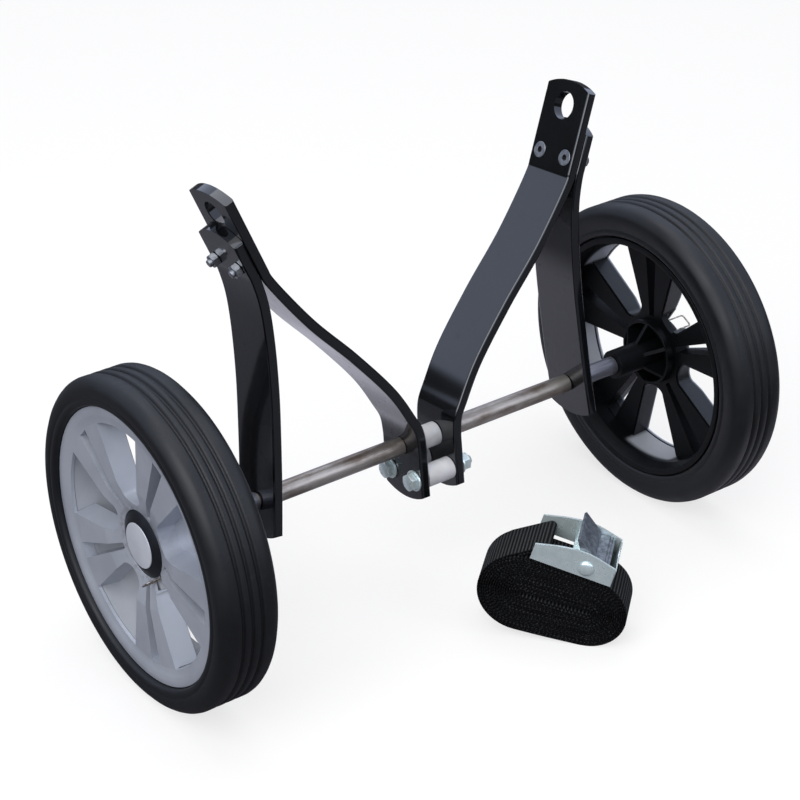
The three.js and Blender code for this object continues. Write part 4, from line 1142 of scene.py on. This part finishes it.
rib_length, thread_width = 3 * mm, 0.9 * mm
webbing = Finish("black webbing", Specular_IOR_Level=0.12)
weave_uv = webbing.node("UVMap", {"uv_map": "weave"})
weave_across, weave_along, _ = webbing.axes(weave_uv)
rib = (weave_along.wave(rib_length) * 0.5 + 0.5).between(0.15, 0.85)
thread = weave_across.wave(thread_width) * 0.5 + 0.5
fuzz = webbing.noise(900, 3)
fleck = webbing.noise(700, 3).between(0.56, 0.7)
off_rims = weave_across.between(0.0002, 0.0012) * (1 - weave_across.between(0.0368, 0.0378))
rim_mask = 1 - off_rims
# painted highlight and shade: the ribs' crests are painted light (60, 61, 62) and the hollows
# between them near black (1, 1, 1)
rib_highlight_and_shade = webbing.mix(rib, (1, 1, 1), (60, 61, 62))
web_thread = webbing.mix(thread * 0.12, rib_highlight_and_shade, (24, 25, 25))
web_rimmed = webbing.mix(rim_mask, web_thread, (7, 7, 8))
web_wear = webbing.noise(90, 4).between(0.5, 0.75) * 0.12
web_worn = webbing.mix(web_wear, web_rimmed, (30, 31, 32))
webbing.paint(fleck * rim_mask * 0.8, web_worn, (62, 63, 64))
webbing.set("Roughness", 0.72 + fuzz * 0.2)
webbing.bump(rib * 2 + thread * 0.3 + fuzz * 0.5, 0.0005, 1.0)
strap_band, strap_length = band("rolled_webbing", roll_path(), strap_place)
dress(strap_band, webbing, "strap_set", "strap_webbing", sharp=60)


# Cam buckle
# The buckle is pressed from blue zinc plated steel: a floor, two cheeks, an end wall and a bar that
# the strap is sewn round. A cast cam lever with a thumb plate and teeth turns on a riveted pin.
buckle_place = (
    strap_place @ Matrix.Translation((buckle_start.x, strap_width / 2, buckle_start.y))
    @ Matrix.Rotation(-buckle_slope, 4, "Y")
)
cheek_in, cheek_wall = 19.6, 1.8
cheek_out = cheek_in + cheek_wall
cheek_knots = [(0, 14), (22.1, 20), (40.3, 21.6), (64, 16.4)]
cheek_top = eased([Vector(knot) for knot in cheek_knots], 8)
cheek_line = [(0, 0), *[tuple(point) for point in cheek_top], (65, 0)]
floor_start, floor_end, floor_wall = 30, 64.1, 1.6
wall_start, wall_end, wall_height = 63.4, 65, 14.6
pin_along, pin_up, pin_bore = 42.7, 8.5, 2.8
bore_half = 30
tooth_half = cheek_in + 0.9


def crossbar(name, line):
    """A part of the buckle between its cheeks, let into both of them."""
    return prism(name, line, -tooth_half, tooth_half, buckle_place)


def oblong(low_x, high_x, high_z):
    return [(low_x, 0), (high_x, 0), (high_x, high_z), (low_x, high_z)]


buckle = prism("pressed_buckle", cheek_line, -cheek_out, -cheek_in, buckle_place)
combine(
    buckle, "UNION",
    prism("far_cheek", cheek_line, cheek_in, cheek_out, buckle_place),
    crossbar("floor_plate", oblong(floor_start, floor_end, floor_wall)),
    crossbar("end_wall", oblong(wall_start, wall_end, wall_height)),
    crossbar("strap_bar", disc_line(bar_radius, bar_along, bar_up)),
)
pin_line = disc_line(pin_bore, pin_along, pin_up)
combine(buckle, "DIFFERENCE", prism("pin_bore", pin_line, -bore_half, bore_half, buckle_place))
dress(buckle, zinc, "strap_set", "buckle_body", edge=0.45)

pin_place = buckle_place @ Matrix.Translation((pin_along, 0, pin_up))
head = cheek_out + 0.3
rivet_head = [
    (2.5, 0), (6.2, 0), (6.2, 0.6), (5.6, 1.3), (4.6, 1.8), (3.1, 2.2), (1.5, 2.35), (0, 2.4),
]
rivet_half = [(r, head + rise) for r, rise in rivet_head]
rivet_outline = [(r, -y) for r, y in reversed(rivet_half)] + rivet_half
rivet = turned("riveted_pin", rivet_outline, 64, pin_place)
dress(rivet, zinc, "strap_set", "buckle_pin", sharp=50)

lever_half, lever_wall, lever_length = 19.2, 2.2, 20.2
lever_slope = radians(142)
plate_way, plate_face = along(lever_slope), -left_of(lever_slope)
lever_root = Vector((2, 8.2))
lever_tip = lever_root + plate_way * lever_length
crest = lever_root + plate_face * lever_wall
nose_high, nose_low = Vector((16.4, 6.8)), Vector((13.3, -6.55))
ridged = crest.lerp(nose_high, 0.5)
ridges, ridge_height = 3, 0.9
lever_line = [
    lever_tip, lever_tip + plate_face * lever_wall, crest,
    crest + Vector((0.4, -2)), crest + Vector((2.2, -2.2)), ridged,
]
for i in range(ridges):
    top = ridged.lerp(nose_high, (i + 0.5) / ridges) + plate_face * ridge_height
    lever_line += [top, ridged.lerp(nose_high, (i + 1) / ridges)]
hub_radius = 5.6
hub_angles = [-pi / 2 * (1 + i / 8) for i in range(1, 13)]
lever_line += [
    nose_low, Vector((hub_radius, -hub_radius)),
    *[along(angle) * hub_radius for angle in hub_angles],
]
lever_line = [tuple(point) for point in lever_line]
lever = prism("cast_lever", lever_line, -lever_half, lever_half, pin_place)
combine(lever, "DIFFERENCE",
        prism("lever_bore", disc_line(pin_bore), -bore_half, bore_half, pin_place))
cast = Finish("cast zinc lever", Metallic=0.9)
cast_cloud = cast.noise(200, 5, 0.7)
cast_pit = cast.noise(1100, 4, 0.7)
cast.paint(cast_cloud.between(0.3, 0.7), (150, 156, 162), (92, 98, 104))
cast.set("Roughness", 0.3 + cast_pit * 0.3)
cast.bump(cast_pit, 0.0002, 0.6)
dress(lever, cast, "cam_lever", "buckle_lever", edge=0.3)
